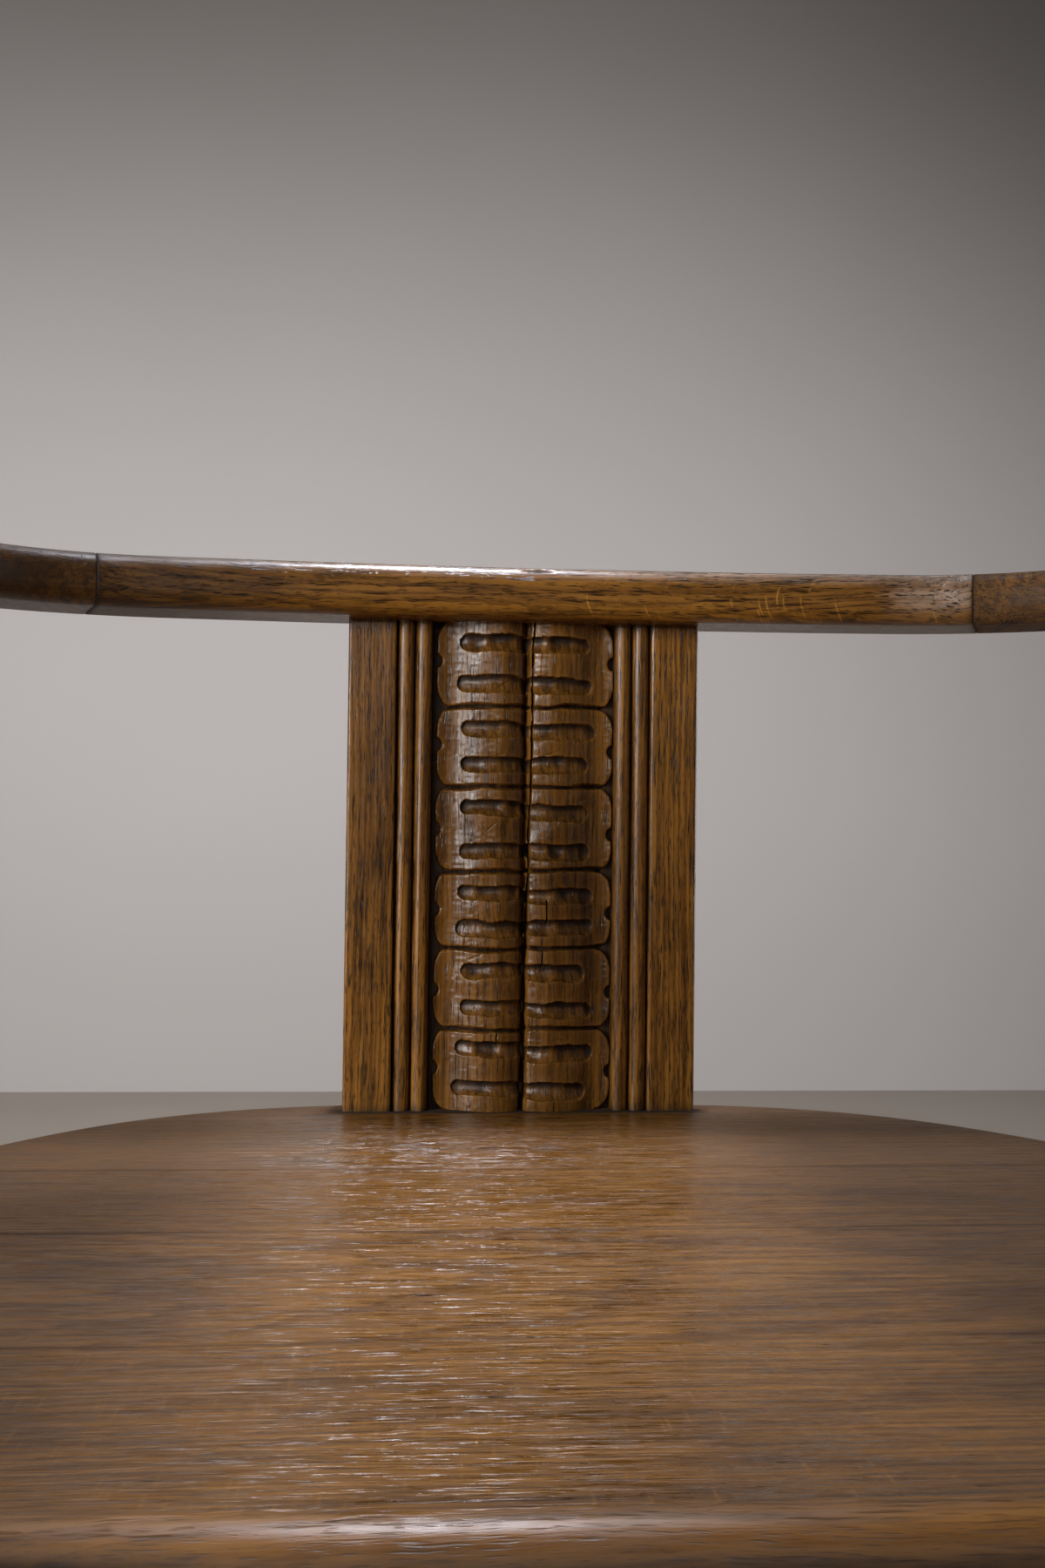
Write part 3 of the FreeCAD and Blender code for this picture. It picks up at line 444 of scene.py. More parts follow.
seatWearAndShade = {
    "joint": 0.4, "jointWide": 0.8,         # dirt in the glue lines
    "edge": 0.3, "edgeWide": 4.0,           # and all round the edge
    "below": 0.55, "belowZ": (454.0, 445.0),                    # painted shade on the side faces
    "belowFront": 0.2, "belowFrontY": (-190.0, -225.0),         # more painted shade in front
    "rim": 0.6, "rimInset": (52.0, 14.0), "rimY": (40.0, 130.0),        # old dirt kept by the rear rim
    "foot": 0.95, "footY": 201.0, "footNear": (7.0, 1.0), "footHalf": (82.0, 77.0),     # against the splat
    "sides": 0.6, "sidesMiddle": -20.0, "sidesFrom": (45.0, 135.0),     # painted shade: darker toward the sides, where less light falls
    "right": 0.12, "rightFrom": (60.0, 200.0),                  # more painted shade on the right side
    "polishInset": 6.0, "polishWide": 4.5, "polishY": (-180.0, -212.0),     # front edge polished by legs
}


def seatMarks(x, y, z):
    # dirt and painted shade are a sum of bands by inset and place, wear a bell over the inset along the front
    # edge
    p = seatWearAndShade
    inset = seatInset(x, y)
    joint = sum(np.exp(-np.abs(y - j) / p["jointWide"]) for j in seatPlan["joints"]) * p["joint"]
    edge = np.exp(-inset / p["edgeWide"]) * p["edge"]
    # painted shade on the side faces below the top's round, more in front
    below = smooth(*p["belowZ"], z) * (p["below"] + p["belowFront"] * smooth(*p["belowFrontY"], y))
    rim = smooth(*p["rimInset"], inset) * smooth(*p["rimY"], y) * p["rim"]
    foot = smooth(*p["footNear"], np.abs(y - p["footY"])) * smooth(*p["footHalf"], np.abs(x)) * p["foot"]
    # painted shade toward both sides, and more on the right
    sides = smooth(*p["sidesFrom"], np.abs(x - p["sidesMiddle"])) * p["sides"]
    sides = sides + smooth(*p["rightFrom"], x) * p["right"]
    rubbedAndSheen = np.exp(-((inset - p["polishInset"]) / p["polishWide"]) ** 2) * smooth(*p["polishY"], y)
    return {"grimeAndShade": np.clip(joint + edge + below + np.maximum(sides, rim) + foot, 0, 1), "wearAndSheen": rubbedAndSheen}


def crossBoard(name, y0, y1):
    # a middle board: a closed ring in x and z carried along y between the side arcs
    near = np.array([0.3, 0.7, 1.3])      # finer rows beside the joints
    y = np.unique(np.concatenate([np.linspace(y0, y1, 40), y0 + near, y1 - near]))
    s = np.sin(np.linspace(-quarter, quarter, 150))
    grid = np.concatenate([s, s[::-1]])
    upper = np.arange(len(grid)) < len(s)
    x = seatHalf(y)[:, None] * grid[None, :]
    yy = np.repeat(y[:, None], len(grid), 1)
    z = seatFaces(x, yy, upper[None, :])
    return skin(name, np.stack([x, yy, z], -1), marks=seatMarks(x, yy, z))


def endBoard(name, joint):
    # an end board: a closed ring in y and z, from the joint to the curved edge, carried along x
    x = float(seatHalf(joint)) * np.sin(np.linspace(-quarter, quarter, 221))
    s = np.concatenate([np.linspace(0, 0.012, 4)[:-1], 0.012 + 0.988 * np.sin(np.linspace(0, quarter, 80))])
    grid = np.concatenate([s, s[::-1]])
    upper = np.arange(len(grid)) < len(s)
    xx = np.repeat(x[:, None], len(grid), 1)
    y = joint + (seatEdge(x, joint > 0) - joint)[:, None] * grid[None, :]
    z = seatFaces(xx, y, upper[None, :])
    return skin(name, np.stack([xx, y, z], -1), marks=seatMarks(xx, y, z))


seatArcs(seatPlan)
rearJoint, middleJoint, frontJoint = seatPlan["joints"]
seatOak = {
    "all": {"pores": 0.4, "more": 0.22, "rough": 0.85, "ripple": 0.2, "index": 1.47, "polish": 0.31,
            "bareAndSheen": 0.2},
    # painted light: the rear boards' shade of -0.3 and 0.02, paler than the front boards, stands in for the
    # sheen on the rear of the seat
    "Rear": {"pith": (330.0, 90.0), "ring": 3.1, "seed": 1.0, "rays": 0.15, "taper": 0.012, "figure": 0.4,
             "shade": -0.3, "glint": 1.5, "steep": 5.5},
    "MidRear": {"pith": (-190.0, 250.0), "ring": 2.5, "seed": 2.0, "rays": 0.2, "taper": 0.01, "figure": 0.45,
                "shade": 0.02, "glint": 1.2},
    "MidFront": {"pith": (-70.0, 260.0), "ring": 4.2, "seed": 3.0, "rays": 0.1, "taper": 0.05, "figure": 0.55,
                 "shade": 0.1, "glint": 1.05},
    "Front": {"pith": (60.0, 300.0), "ring": 3.0, "seed": 4.0, "rays": 0.15, "taper": 0.02, "figure": 0.45,
              "shade": 0.12, "glint": 1.05},
}
seatBoards = (("Rear", "seat_board_rear", endBoard, (rearJoint,)),
              ("MidRear", "seat_board_mid_rear", crossBoard, (middleJoint, rearJoint)),
              ("MidFront", "seat_board_mid_front", crossBoard, (frontJoint, middleJoint)),
              ("Front", "seat_board_front", endBoard, (frontJoint,)))
for part, node, board, joints in seatBoards:
    dress(board("seatBoard" + part, *joints), "seat", "oak",
          oak("oakSeat" + part, **seatOak["all"], **seatOak[part]), node)
print("seat boards ready")


# rail and arms: one rounded section carried along tangent arcs

railPlan = {
    "low": 666.0, "thick": 22.0, "wide": 46.0, "round": 8.0,
    "back": {"x": 0.0, "y": -1516.0, "r": 1700.0, "turn": math.asin(160.0 / 1700.0)},
    "corner": {"r": 95.0, "turn": math.radians(84.0)},
    "arm": {"r": 700.0, "turn": math.radians(84.0) + 212.0 / 700.0},
    "leftJoint": 178.0, "rightJoint": 188.0,     # distance of each joint from the middle, at the inner edge
    "ease": 0.45,       # broken edge at the joint, mm
    "hand": 0.12,       # unevenness left by the spokeshave, mm
    "chip": {"x": 4.3, "z": 686.3, "half": 5.6, "wide": 0.5, "deep": 0.9, "rearY": 196.0},
    "shadedEnds": {"left": 0.7, "leftFrom": (-40.0, -170.0),       # painted shade toward the rail's ends, where they turn from the light
                "right": 0.4, "rightFrom": (60.0, 160.0)},
    "patch": {"x": 170.0, "z": 678.0, "half": 17.0, "tall": 7.0},      # painted reflection: a pale grey patch of sheen at the right, also smoother
    "polish": {"share": 0.7, "from": 681.0, "to": 685.0},      # the top, polished by hands, with a pale painted highlight
}


def railArcs(plan):
    back, corner, arm = plan["back"], plan["corner"], plan["arm"]
    chain(back, corner)
    chain(corner, arm)
    plan["leftTurn"] = math.asin((plan["leftJoint"] - corner["x"]) / corner["r"])
    plan["rightTurn"] = math.asin((plan["rightJoint"] - corner["x"]) / corner["r"])


def railSection():
    # ring of (across, up) from the middle: four rounds joined by straight sides
    r = railPlan["round"]
    hx, hz = railPlan["wide"] / 2 - r, railPlan["thick"] / 2 - r
    turn = np.linspace(0, quarter, 20)
    rounds = []
    for k, (cx, cz) in enumerate(((hx, hz), (-hx, hz), (-hx, -hz), (hx, -hz))):
        bow = turn + k * quarter
        rounds.append(np.stack([cx + r * np.cos(bow), cz + r * np.sin(bow)], -1))
        nextCorner = ((-hx, hz), (-hx, -hz), (hx, -hz), (hx, hz))[k]
        start = rounds[-1][-1]
        end = np.array(nextCorner) + r * np.array([math.cos(bow[-1]), math.sin(bow[-1])])
        share = np.linspace(0, 1, 10 if k % 2 == 0 else 4)[1:-1, None]
        rounds.append(start + (end - start) * share)
    return np.concatenate(rounds)


def carryRail(centres, radii, turns, swings, endsAt):
    # section points go out from each arc's centre along its normal; at the tip the halves swing together
    section = railSection()
    n = len(turns)
    across = np.repeat(section[None, :, 0], n, 0)
    up = np.repeat(section[None, :, 1], n, 0)
    normal = np.stack([np.sin(turns), np.cos(turns)], -1)
    heading = np.stack([np.cos(turns), -np.sin(turns)], -1)
    middle = centres + normal * radii[:, None]
    length = np.concatenate([[0], np.cumsum(np.hypot(*np.diff(middle, axis=0).T))])
    lap = np.arange(section.shape[0])[None, :] / section.shape[0] * 12.0
    hand = wobble(length[:, None] / 34.0 + 3.0, lap + 0.0 * length[:, None], 21) * railPlan["hand"]
    size = np.hypot(across, up)
    across = across + across / size * hand
    up = up + up / size * hand
    grimeAndShade = np.zeros((n, section.shape[0]))
    for end in endsAt:
        away = np.abs(length - length[end])[:, None]
        inset = railPlan["ease"] * np.exp(-away / 0.3)
        across -= across / size * inset
        up -= up / size * inset
        grimeAndShade += np.exp(-away / 0.9) * 0.9
    plan = (middle[:, None, :] + normal[:, None, :] * (across * np.cos(swings)[:, None])[:, :, None]
            + heading[:, None, :] * (np.abs(across) * np.sin(swings)[:, None])[:, :, None])
    z = railPlan["low"] + railPlan["thick"] / 2 + up
    points = np.concatenate([plan, z[:, :, None]], -1)
    return points, {"grimeAndShade": np.clip(grimeAndShade, 0, 1), "wearAndSheen": np.zeros_like(grimeAndShade)}


def stations(*runs):
    # runs of (arc, side, first turn, last turn, count) as centres, middle radii and turns
    half = railPlan["wide"] / 2
    centres, radii, turns = [], [], []
    for bow, side, first, last, count in runs:
        centres.append(np.repeat([[bow["x"] * side, bow["y"]]], count, 0))
        radii.append(np.full(count, bow["r"] + half))
        turns.append(np.linspace(first, last, count))
    return np.concatenate(centres), np.concatenate(radii), np.concatenate(turns)


railArcs(railPlan)
back, corner, arm = railPlan["back"], railPlan["corner"], railPlan["arm"]
leftTurn, rightTurn = railPlan["leftTurn"], railPlan["rightTurn"]
jointStep = 1.2 / (corner["r"] + railPlan["wide"] / 2)


def backRail():
    # from joint to joint, with close stations at the joints and at the chip in the front round
    fine = jointStep
    near = 14.0 / back["r"]
    bow = back["turn"]
    runs = [(corner, -1, -leftTurn, -leftTurn + fine, 6), (corner, -1, -leftTurn + fine * 1.5, -bow, 24),
            (back, 1, -bow, -near, 60), (back, 1, -near, near, 57), (back, 1, near, bow, 60),
            (corner, 1, bow, rightTurn - fine * 1.5, 24), (corner, 1, rightTurn - fine, rightTurn, 6)]
    centres, radii, turns = stations(*runs)
    points, marks = carryRail(centres, radii, turns, np.zeros(len(turns)), (0, -1))
    chip, shadedEnds, rubbedAndSheen, polish = (railPlan[k] for k in ("chip", "shadedEnds", "patch", "polish"))
    run = (points[:, :, 0] - chip["x"]) / chip["half"]
    line = chip["z"] + 0.12 * np.sin(run * 4.0)
    dent = np.exp(-run ** 4 - ((points[:, :, 2] - line) / chip["wide"]) ** 2)
    dent = dent * (points[:, :, 1] < chip["rearY"])
    points[:, :, 2] -= dent * chip["deep"]
    points[:, :, 1] += dent * chip["deep"] * 0.7
    x, z = points[:, :, 0], points[:, :, 2]
    # painted shade toward both ends of the rail
    ends = shadedEnds["left"] * smooth(*shadedEnds["leftFrom"], x)
    ends = ends + shadedEnds["right"] * smooth(*shadedEnds["rightFrom"], x)
    # painted reflection on the right patch and painted highlight along the top
    patch = np.exp(-((x - rubbedAndSheen["x"]) / rubbedAndSheen["half"]) ** 4 - ((z - rubbedAndSheen["z"]) / rubbedAndSheen["tall"]) ** 2)
    wornAndSheen = polish["share"] * smooth(polish["from"], polish["to"], z) + patch
    marks["grimeAndShade"] = np.clip(marks["grimeAndShade"] + dent * 0.9 + ends, 0, 1) * (1 - 0.6 * patch)
    marks["wearAndSheen"] = np.clip(wornAndSheen, 0, 1) * (1 - dent)
    return skin("backRailTop", points, marks=marks)


def armRest(name, side, first):
    # from the joint round the corner arc and along the side arc to the rounded tip, built right and mirrored
    fine = jointStep
    tip = 26
    runs = [(corner, 1, first, first + fine, 6), (corner, 1, first + fine * 1.5, corner["turn"], 60),
            (arm, 1, corner["turn"], arm["turn"], 60), (arm, 1, arm["turn"], arm["turn"], tip)]
    centres, radii, turns = stations(*runs)
    swings = np.zeros(len(turns))
    swings[-tip:] = np.linspace(0, quarter, tip)
    points, marks = carryRail(centres, radii, turns, swings, (0,))
    points[:, :, 0] *= side
    return skin(name, points, marks=marks)


railOak = {
    "back": {"pith": (40.0, 520.0), "ring": 2.2, "seed": 5.0, "figure": 0.75, "shade": -0.25, "more": 0.1,
             "rays": 0.7, "rayMid": 677.0, "rayFrom": 700.0, "polish": 0.15, "bareAndSheen": 0.6,
             # pale grey worn colour: painted highlight on the top and painted reflection on the right patch
             "wornAndSheen": tone(168, 154, 144)},
    # painted shade: both arms are stained darker than the rail, 0.7 on the left and 0.6 on the right
    "left": {"pith": (180.0, 560.0), "ring": 2.4, "seed": 6.0, "rays": 0.3, "taper": 0.02, "shade": 0.7,
             "rough": 0.4},
    "right": {"pith": (-160.0, 590.0), "ring": 2.4, "seed": 7.0, "rays": 0.6, "taper": 0.02, "shade": 0.6,
              "rough": 0.85},
}
dress(backRail(), "seat", "oak", oak("oakRail", **railOak["back"]), "back_rail")
dress(armRest("leftArmRest", -1.0, leftTurn), "seat", "oak",
      oak("oakLeftArm", turn=alongY, **railOak["left"]), "left_arm")
dress(armRest("rightArmRest", 1.0, rightTurn), "seat", "oak",
      oak("oakRightArm", turn=alongY, **railOak["right"]), "right_arm")
print("rail and arms ready")


# carved splat

splatPlan = {
    "foot": 455.0, "tall": 211.0, "half": 76.0, "front": 201.0, "back": 227.0,
    "stile": 20.5, "reed": 7.0, "gap": 0.8, "drop": 0.6, "ground": 8.5,
    "band": 39.5,            # half width of the carved tiers
    "tiers": (0.0, 35.1, 69.6, 103.3, 139.6, 174.1, 211.6),      # cuts between the tiers, above the seat
    "cut": 1.25, "cutDeep": 2.4,            # half width and depth of these cuts
    "leftFlutes": (9.6, 26.6, 44.3, 60.2, 78.0, 93.6, 111.6, 130.2, 148.9, 164.4, 183.8, 201.6),
    "rightFlutes": (8.4, 24.5, 43.1, 59.1, 78.8, 92.3, 111.5, 128.4, 148.7, 163.3, 183.6, 201.1),
    "leftBites": (18.1, 51.6, 86.3, 121.3, 157.8, 194.0),
    "rightBites": (16.5, 50.8, 85.1, 119.4, 155.5, 194.0),
    "crest": 11.5, "rise": 2.3, "dip": 4.4, "fall": 7.5, "low": 31.0, "flareFrom": 28.0, "flare": 0.058,
    "fluteHalf": 3.5, "fluteDeep": 3.2, "fluteEnd": 29.6,
    "endVary": (-2.2, 2.2), "tiltVary": (-0.5, 0.5),        # by hand, no two flutes alike
    "halfVary": (0.92, 1.08), "deepVary": (0.85, 1.15),
    "biteRound": 3.0, "cornerX": 6.6, "cornerZ": 9.6,       # bites in the tiers' sides, rounds at the corners
    "groove": 2.1, "grooveDeep": 2.6,
    "grooveX": 0.9,          # the groove stands right of the middle
    "edgeRound": 1.4,        # along the board's long edges
    "crackTop": 4.3, "crackFoot": 0.6,      # x of the drying crack at the head and the foot
    "crackDeep": 3.0, "crackHalf": 0.42, "crackOpen": 0.75,      # it opens toward the foot
    "checks": ((10.7, 90.3, 80.9, 0.35), (-10.7, 34.1, 28.8, 0.3),      # x, from, to, width
               (8.9, 68.1, 62.1, 0.3)),
    "nicks": ((-9.2, 184.0, 3.2, 0.5), (-12.6, 152.6, 4.5, 0.25), (11.3, 154.0, 4.6, 0.25),
              (-14.0, 122.0, 3.0, 0.9), (16.5, 138.0, 2.4, -0.6), (-20.0, 66.0, 3.4, 0.4),
              (18.0, 30.5, 3.0, -0.3)),      # x, height, length, slope
    "nick": 0.45, "nickDeep": 0.55,
}


def withBack(values, columns):   # marks of a carved front, with none on the plain columns behind
    return np.concatenate([np.clip(values, 0, 1), np.zeros((len(values), columns))], 1)


def splatBoard():
    # plan profile from edge to edge and round the back, carried up the splat; reeds waver a little
    p = splatPlan
    field, r = p["half"] - p["stile"], p["edgeRound"]
    half = np.concatenate([[0.0, 20.0], np.linspace(36.0, 40.0, 10), np.linspace(40.1, field + 0.2, 110),
                           np.linspace(field + 0.5, p["half"] - r - 0.2, 34),
                           p["half"] - r + r * np.sin(np.linspace(0, quarter, 7))])
    x = np.concatenate([-half[::-1], half[1:]])
    z = np.linspace(0, p["tall"], 130)
    xx = np.repeat(x[None, :], len(z), 0)
    zz = np.repeat(z[:, None], len(x), 1)
    h = np.abs(xx)
    sway = wobble(zz / 31.0 + 5.0, np.sign(xx) * 3.0 + 8.0, 31) * 0.16
    d = np.full_like(h, -p["ground"])
    for k in range(2):
        centre = field - p["gap"] - p["reed"] / 2 - k * (p["reed"] + p["gap"]) + sway
        reed = p["reed"] / 2 + 0.12
        off = np.abs(h - centre)
        bow = -p["drop"] - reed + np.sqrt(np.maximum(reed * reed - off * off, 0))
        d = np.where(off < reed, np.maximum(d, bow), d)
    slot = (h > field - p["reed"] - 2 * p["gap"] - 0.3) & (h < field + 0.3)
    d = np.where(slot, np.maximum(d, -5.0), d)
    edge = h - field - 0.1 * wobble(zz / 9.0, xx * 0.0 + 4.0, 33)
    face = -0.9 * np.exp(-np.maximum(edge, 0) / 0.45)
    face = face + 0.1 * wobble(xx / 13.0 + 20.0, zz / 40.0, 35)
    rim = np.maximum(h - (p["half"] - r), 0)
    face = face - (r - np.sqrt(np.maximum(r ** 2 - rim ** 2, 0)))
    d = np.where(edge >= 0, face, d)
    front = np.stack([xx, p["front"] - d, zz + p["foot"]], -1)
    turned = p["half"] - np.array([0.0, 0.4, r])
    backX = np.concatenate([turned, [0.0], -turned[::-1]])
    backY = np.array([-r, -0.4, 0, 0, 0, -0.4, -r]) + p["back"]
    rear = np.stack([np.repeat(backX[None, :], len(z), 0), np.repeat(backY[None, :], len(z), 0),
                     np.repeat(z[:, None] + p["foot"], len(backX), 1)], -1)
    soft = blur(d, 3.0)
    # dirt and painted shade in the recesses, darker still in the sunk ground; dark lines at the head and foot
    grimeAndShade = np.clip((soft - d) / 1.6, 0, 1) + np.clip((-d - 2.0) / 4.0, 0, 0.7)
    ends = np.exp(-zz / 2.5) * 0.7 + np.exp(-(p["tall"] - zz) / 2.5) * 0.7
    marks = {"grimeAndShade": withBack(grimeAndShade + ends, len(backX)), "wearAndSheen": withBack((d - soft) / 1.2, len(backX))}
    return skin("splatBoard", np.concatenate([front, rear], 1), sharp=55.0, marks=marks)


def tierDistance(h, z, side):
    # signed distance, outside positive, to the tiers' scalloped outline with a bite in each side
    p = splatPlan
    cuts = np.array(p["tiers"])
    k = np.clip(np.searchsorted(cuts, z, side="right") - 1, 0, len(cuts) - 2)
    middle, tall = (cuts[k] + cuts[k + 1]) / 2, (cuts[k + 1] - cuts[k]) / 2
    a, b = p["cornerX"], p["cornerZ"]
    dx = np.maximum(h - (p["band"] - a), 0) / a
    dz = np.maximum(np.abs(z - middle) - (tall - b), 0) / b
    f = np.sqrt(dx * dx + dz * dz) + 1e-6
    slope = np.sqrt((dx / a) ** 2 + (dz / b) ** 2) / f + 1e-3
    outline = np.where(dx > 0, (f - 1) / slope, -5.0)
    bites = np.array(p["leftBites"] if side < 0 else p["rightBites"])[k]
    bite = p["biteRound"] - np.hypot(h - p["band"] - 0.7, z - bites)
    return np.maximum(outline, bite)


def carving(side):
    # relief of one half, toward the front: a pillow from the groove to the lip, less flutes and cuts
    p = splatPlan
    rows, cols = 640, 148
    z = np.linspace(0, p["tall"], rows)
    h = np.linspace(0, 1, cols) * (p["band"] + 0.5)
    zz = np.repeat(z[:, None], cols, 1)
    hh = np.repeat(h[None, :], rows, 0)
    seed = 50 if side < 0 else 70
    ragged = wobble(hh / 5.0 + 9, zz / 4.0 + 2, seed) * 0.5 + wobble(hh / 1.9, zz / 1.7, seed + 1) * 0.22
    crest = p["crest"]
    inner = np.maximum(crest - hh, 0) / crest
    outer = np.maximum(hh - crest, 0) / (p["low"] - crest)
    d = p["rise"] - p["dip"] * (1.0 - 0.12 * side) * inner ** 2 - p["fall"] * outer ** 1.8
    d = d + p["flare"] * np.maximum(hh - p["flareFrom"], 0) ** 2
    d = d + wobble(hh / 11.0 + 3, zz / 8.0 + 5, seed + 2) * 0.3

    # wavy cuts between tiers
    cut = np.zeros_like(d)
    lipShade = np.zeros_like(d)
    for k, level in enumerate(p["tiers"][1:-1]):
        line = level + wobble(hh / 9.0 + 4 * k, zz * 0 + k, seed + 3) * 0.7 + side * 0.25
        width = p["cut"] + 0.35 * wobble(hh / 6.0 + k, zz * 0, seed + 4)
        cut = np.maximum(cut, (p["cutDeep"] + ragged) * np.clip(1 - np.abs(zz - line) / width, 0, 1) ** 0.8)

    # gouged flutes, steeper above than below
    levels = p["leftFlutes"] if side < 0 else p["rightFlutes"]
    random = np.random.default_rng(seed + 5)
    for k, level in enumerate(levels):
        end = p["fluteEnd"] + random.uniform(*p["endVary"])
        tilt = random.uniform(*p["tiltVary"])
        half = p["fluteHalf"] * (1 + 0.1 * wobble(hh / 8.0 + k, zz * 0 + k * 1.7, seed + 6))
        half = half * random.uniform(*p["halfVary"]) * (1 - 0.18 * smooth(6.0, 0.0, hh))
        tipIn = np.clip((hh - (end - half)) / half, 0, 1)
        half = half * np.sqrt(np.maximum(1 - tipIn ** 2, 1e-4))
        middle = level + tilt * (hh - 15.0) / 15.0 + wobble(hh / 7.0 + 3 * k, zz * 0 + 2, seed + 7) * 0.35
        t = (zz - middle + ragged * 0.7) / half
        bowl = np.maximum(1 - t * t, 0) ** 0.4 * (1 + 0.25 * t) * (1 - 0.4 * tipIn ** 2)
        deep = p["fluteDeep"] * random.uniform(*p["deepVary"]) * (0.75 + 0.25 * smooth(end, end - 14.0, hh))
        deep = deep * (0.85 + 0.25 * wobble(hh / 4.5 + 5 * k, zz * 0 + k, seed + 9))    # scoops of the gouge
        cut = np.maximum(cut, np.where(tipIn < 1, deep * bowl, 0.0))
        lip = smooth(0.1, 0.8, t) * (t < 1)      # painted shade under the upper lip
        lipShade = np.maximum(lipShade, np.where(tipIn < 1, lip, 0.0))
    d = d - cut

    # centre groove, the drying crack, short checks along the grain and stray chisel nicks
    d = d - p["grooveDeep"] * np.clip(1 - hh / (p["groove"] + ragged * 0.6), 0, 1) ** 0.7
    x = p["grooveX"] + side * hh - side * p["grooveX"] * hh / p["band"]
    share = zz / p["tall"]
    crackAt = p["crackFoot"] + (p["crackTop"] - p["crackFoot"]) * share
    crackAt = crackAt + wobble(zz / 15.0, hh * 0, 91) * 0.45
    crackWide = p["crackHalf"] + p["crackOpen"] * smooth(0.62, 0.05, share)
    crackWide = crackWide + 0.2 * wobble(zz / 5.0, hh * 0 + 3, 92)
    crack = np.clip(1.3 * (1 - np.abs(x - crackAt) / np.maximum(crackWide, 0.2)), 0, 1)
    for checkX, top, foot, width in p["checks"]:
        inside = smooth(foot - 0.8, foot + 0.8, zz) * smooth(top + 0.8, top - 0.8, zz)
        split = np.clip(1 - np.abs(x - checkX - wobble(zz / 3.0, hh * 0, 93) * 0.25) / width, 0, 1)
        crack = np.maximum(crack, split * inside)
    d = d - crack * p["crackDeep"]
    for nickX, level, length, slope in p["nicks"]:
        off = np.abs(zz - level - slope * (x - nickX)) / p["nick"]
        d = d - p["nickDeep"] * np.clip(1 - off, 0, 1) * smooth(1.0, 0.4, np.abs(x - nickX) / length)

    # tool marks and the scalloped edge
    d = d + wobble(hh / 2.6, zz / 1.3, seed + 8) * 0.07
    outside = tierDistance(hh + ragged * 0.4, zz + ragged * 0.3, side)
    d = d - 0.7 * np.exp(np.minimum(outside, 0) / 0.55)
    wall = smooth(0.3, -0.3, outside)
    d = -p["ground"] - 0.4 + (d + p["ground"] + 0.4) * wall

    # dirt and painted shade lie below the blurred surface, wear above it; the flutes' upper lips and the
    # crack get painted shade too
    soft, broad = blur(d, 5.0), blur(d, 16.0)
    grimeAndShade = np.clip((soft - d - 0.15) / 0.9, 0, 1) + np.clip((broad - d - 0.5) / 3.0, 0, 0.6)
    grimeAndShade = grimeAndShade + crack + lipShade * 0.6
    grimeAndShade = np.where(wall < 0.3, np.minimum(grimeAndShade, 0.45), grimeAndShade)
    wearAndSheen = np.clip((d - soft - 0.05) / 0.7, 0, 1) * wall
    front = np.stack([x, p["front"] - d, zz + p["foot"]], -1)
    floorY = p["front"] + p["ground"] + 1.2
    rear = np.stack([x[:, [-1, 0]], np.full((rows, 2), floorY), zz[:, :2] + p["foot"]], -1)
    return skin("carvedTiersLeft" if side < 0 else "carvedTiersRight", np.concatenate([front, rear], 1),
                sharp=75.0, marks={"grimeAndShade": withBack(grimeAndShade, 2), "wearAndSheen": withBack(wearAndSheen, 2)})


splatOak = {
    "all": {"turn": alongZ, "pith": (150.0, 320.0), "ring": 2.3, "seed": 8.0},
    "board": {"rays": 0.12, "figure": 0.85, "more": 0.1, "walls": 0.6, "shade": -0.06},
    "carving": {"rays": 0.1, "pores": 0.7, "shade": 0.3},
}
oakStiles = oak("oakSplat", **splatOak["all"], **splatOak["board"])
oakCarving = oak("oakCarving", **splatOak["all"], **splatOak["carving"])
dress(splatBoard(), "seat", "oak", oakStiles, "back_splat")
dress(carving(-1.0), "seat", "oak", oakCarving, "back_splat")
dress(carving(1.0), "seat", "oak", oakCarving, "back_splat")
print("carved splat ready")


# arm supports

supportPlan = {
    "y": -69.0, "wide": 84.0, "thick": 24.0, "round": 5.0, "footX": 241.15, "headX": 267.07,
    "low": 455.0, "tall": 211.0,
    "grooves": 3, "grooveFrom": 18.5, "groovePitch": 6.0, "groove": 1.5, "sink": 0.6,
}


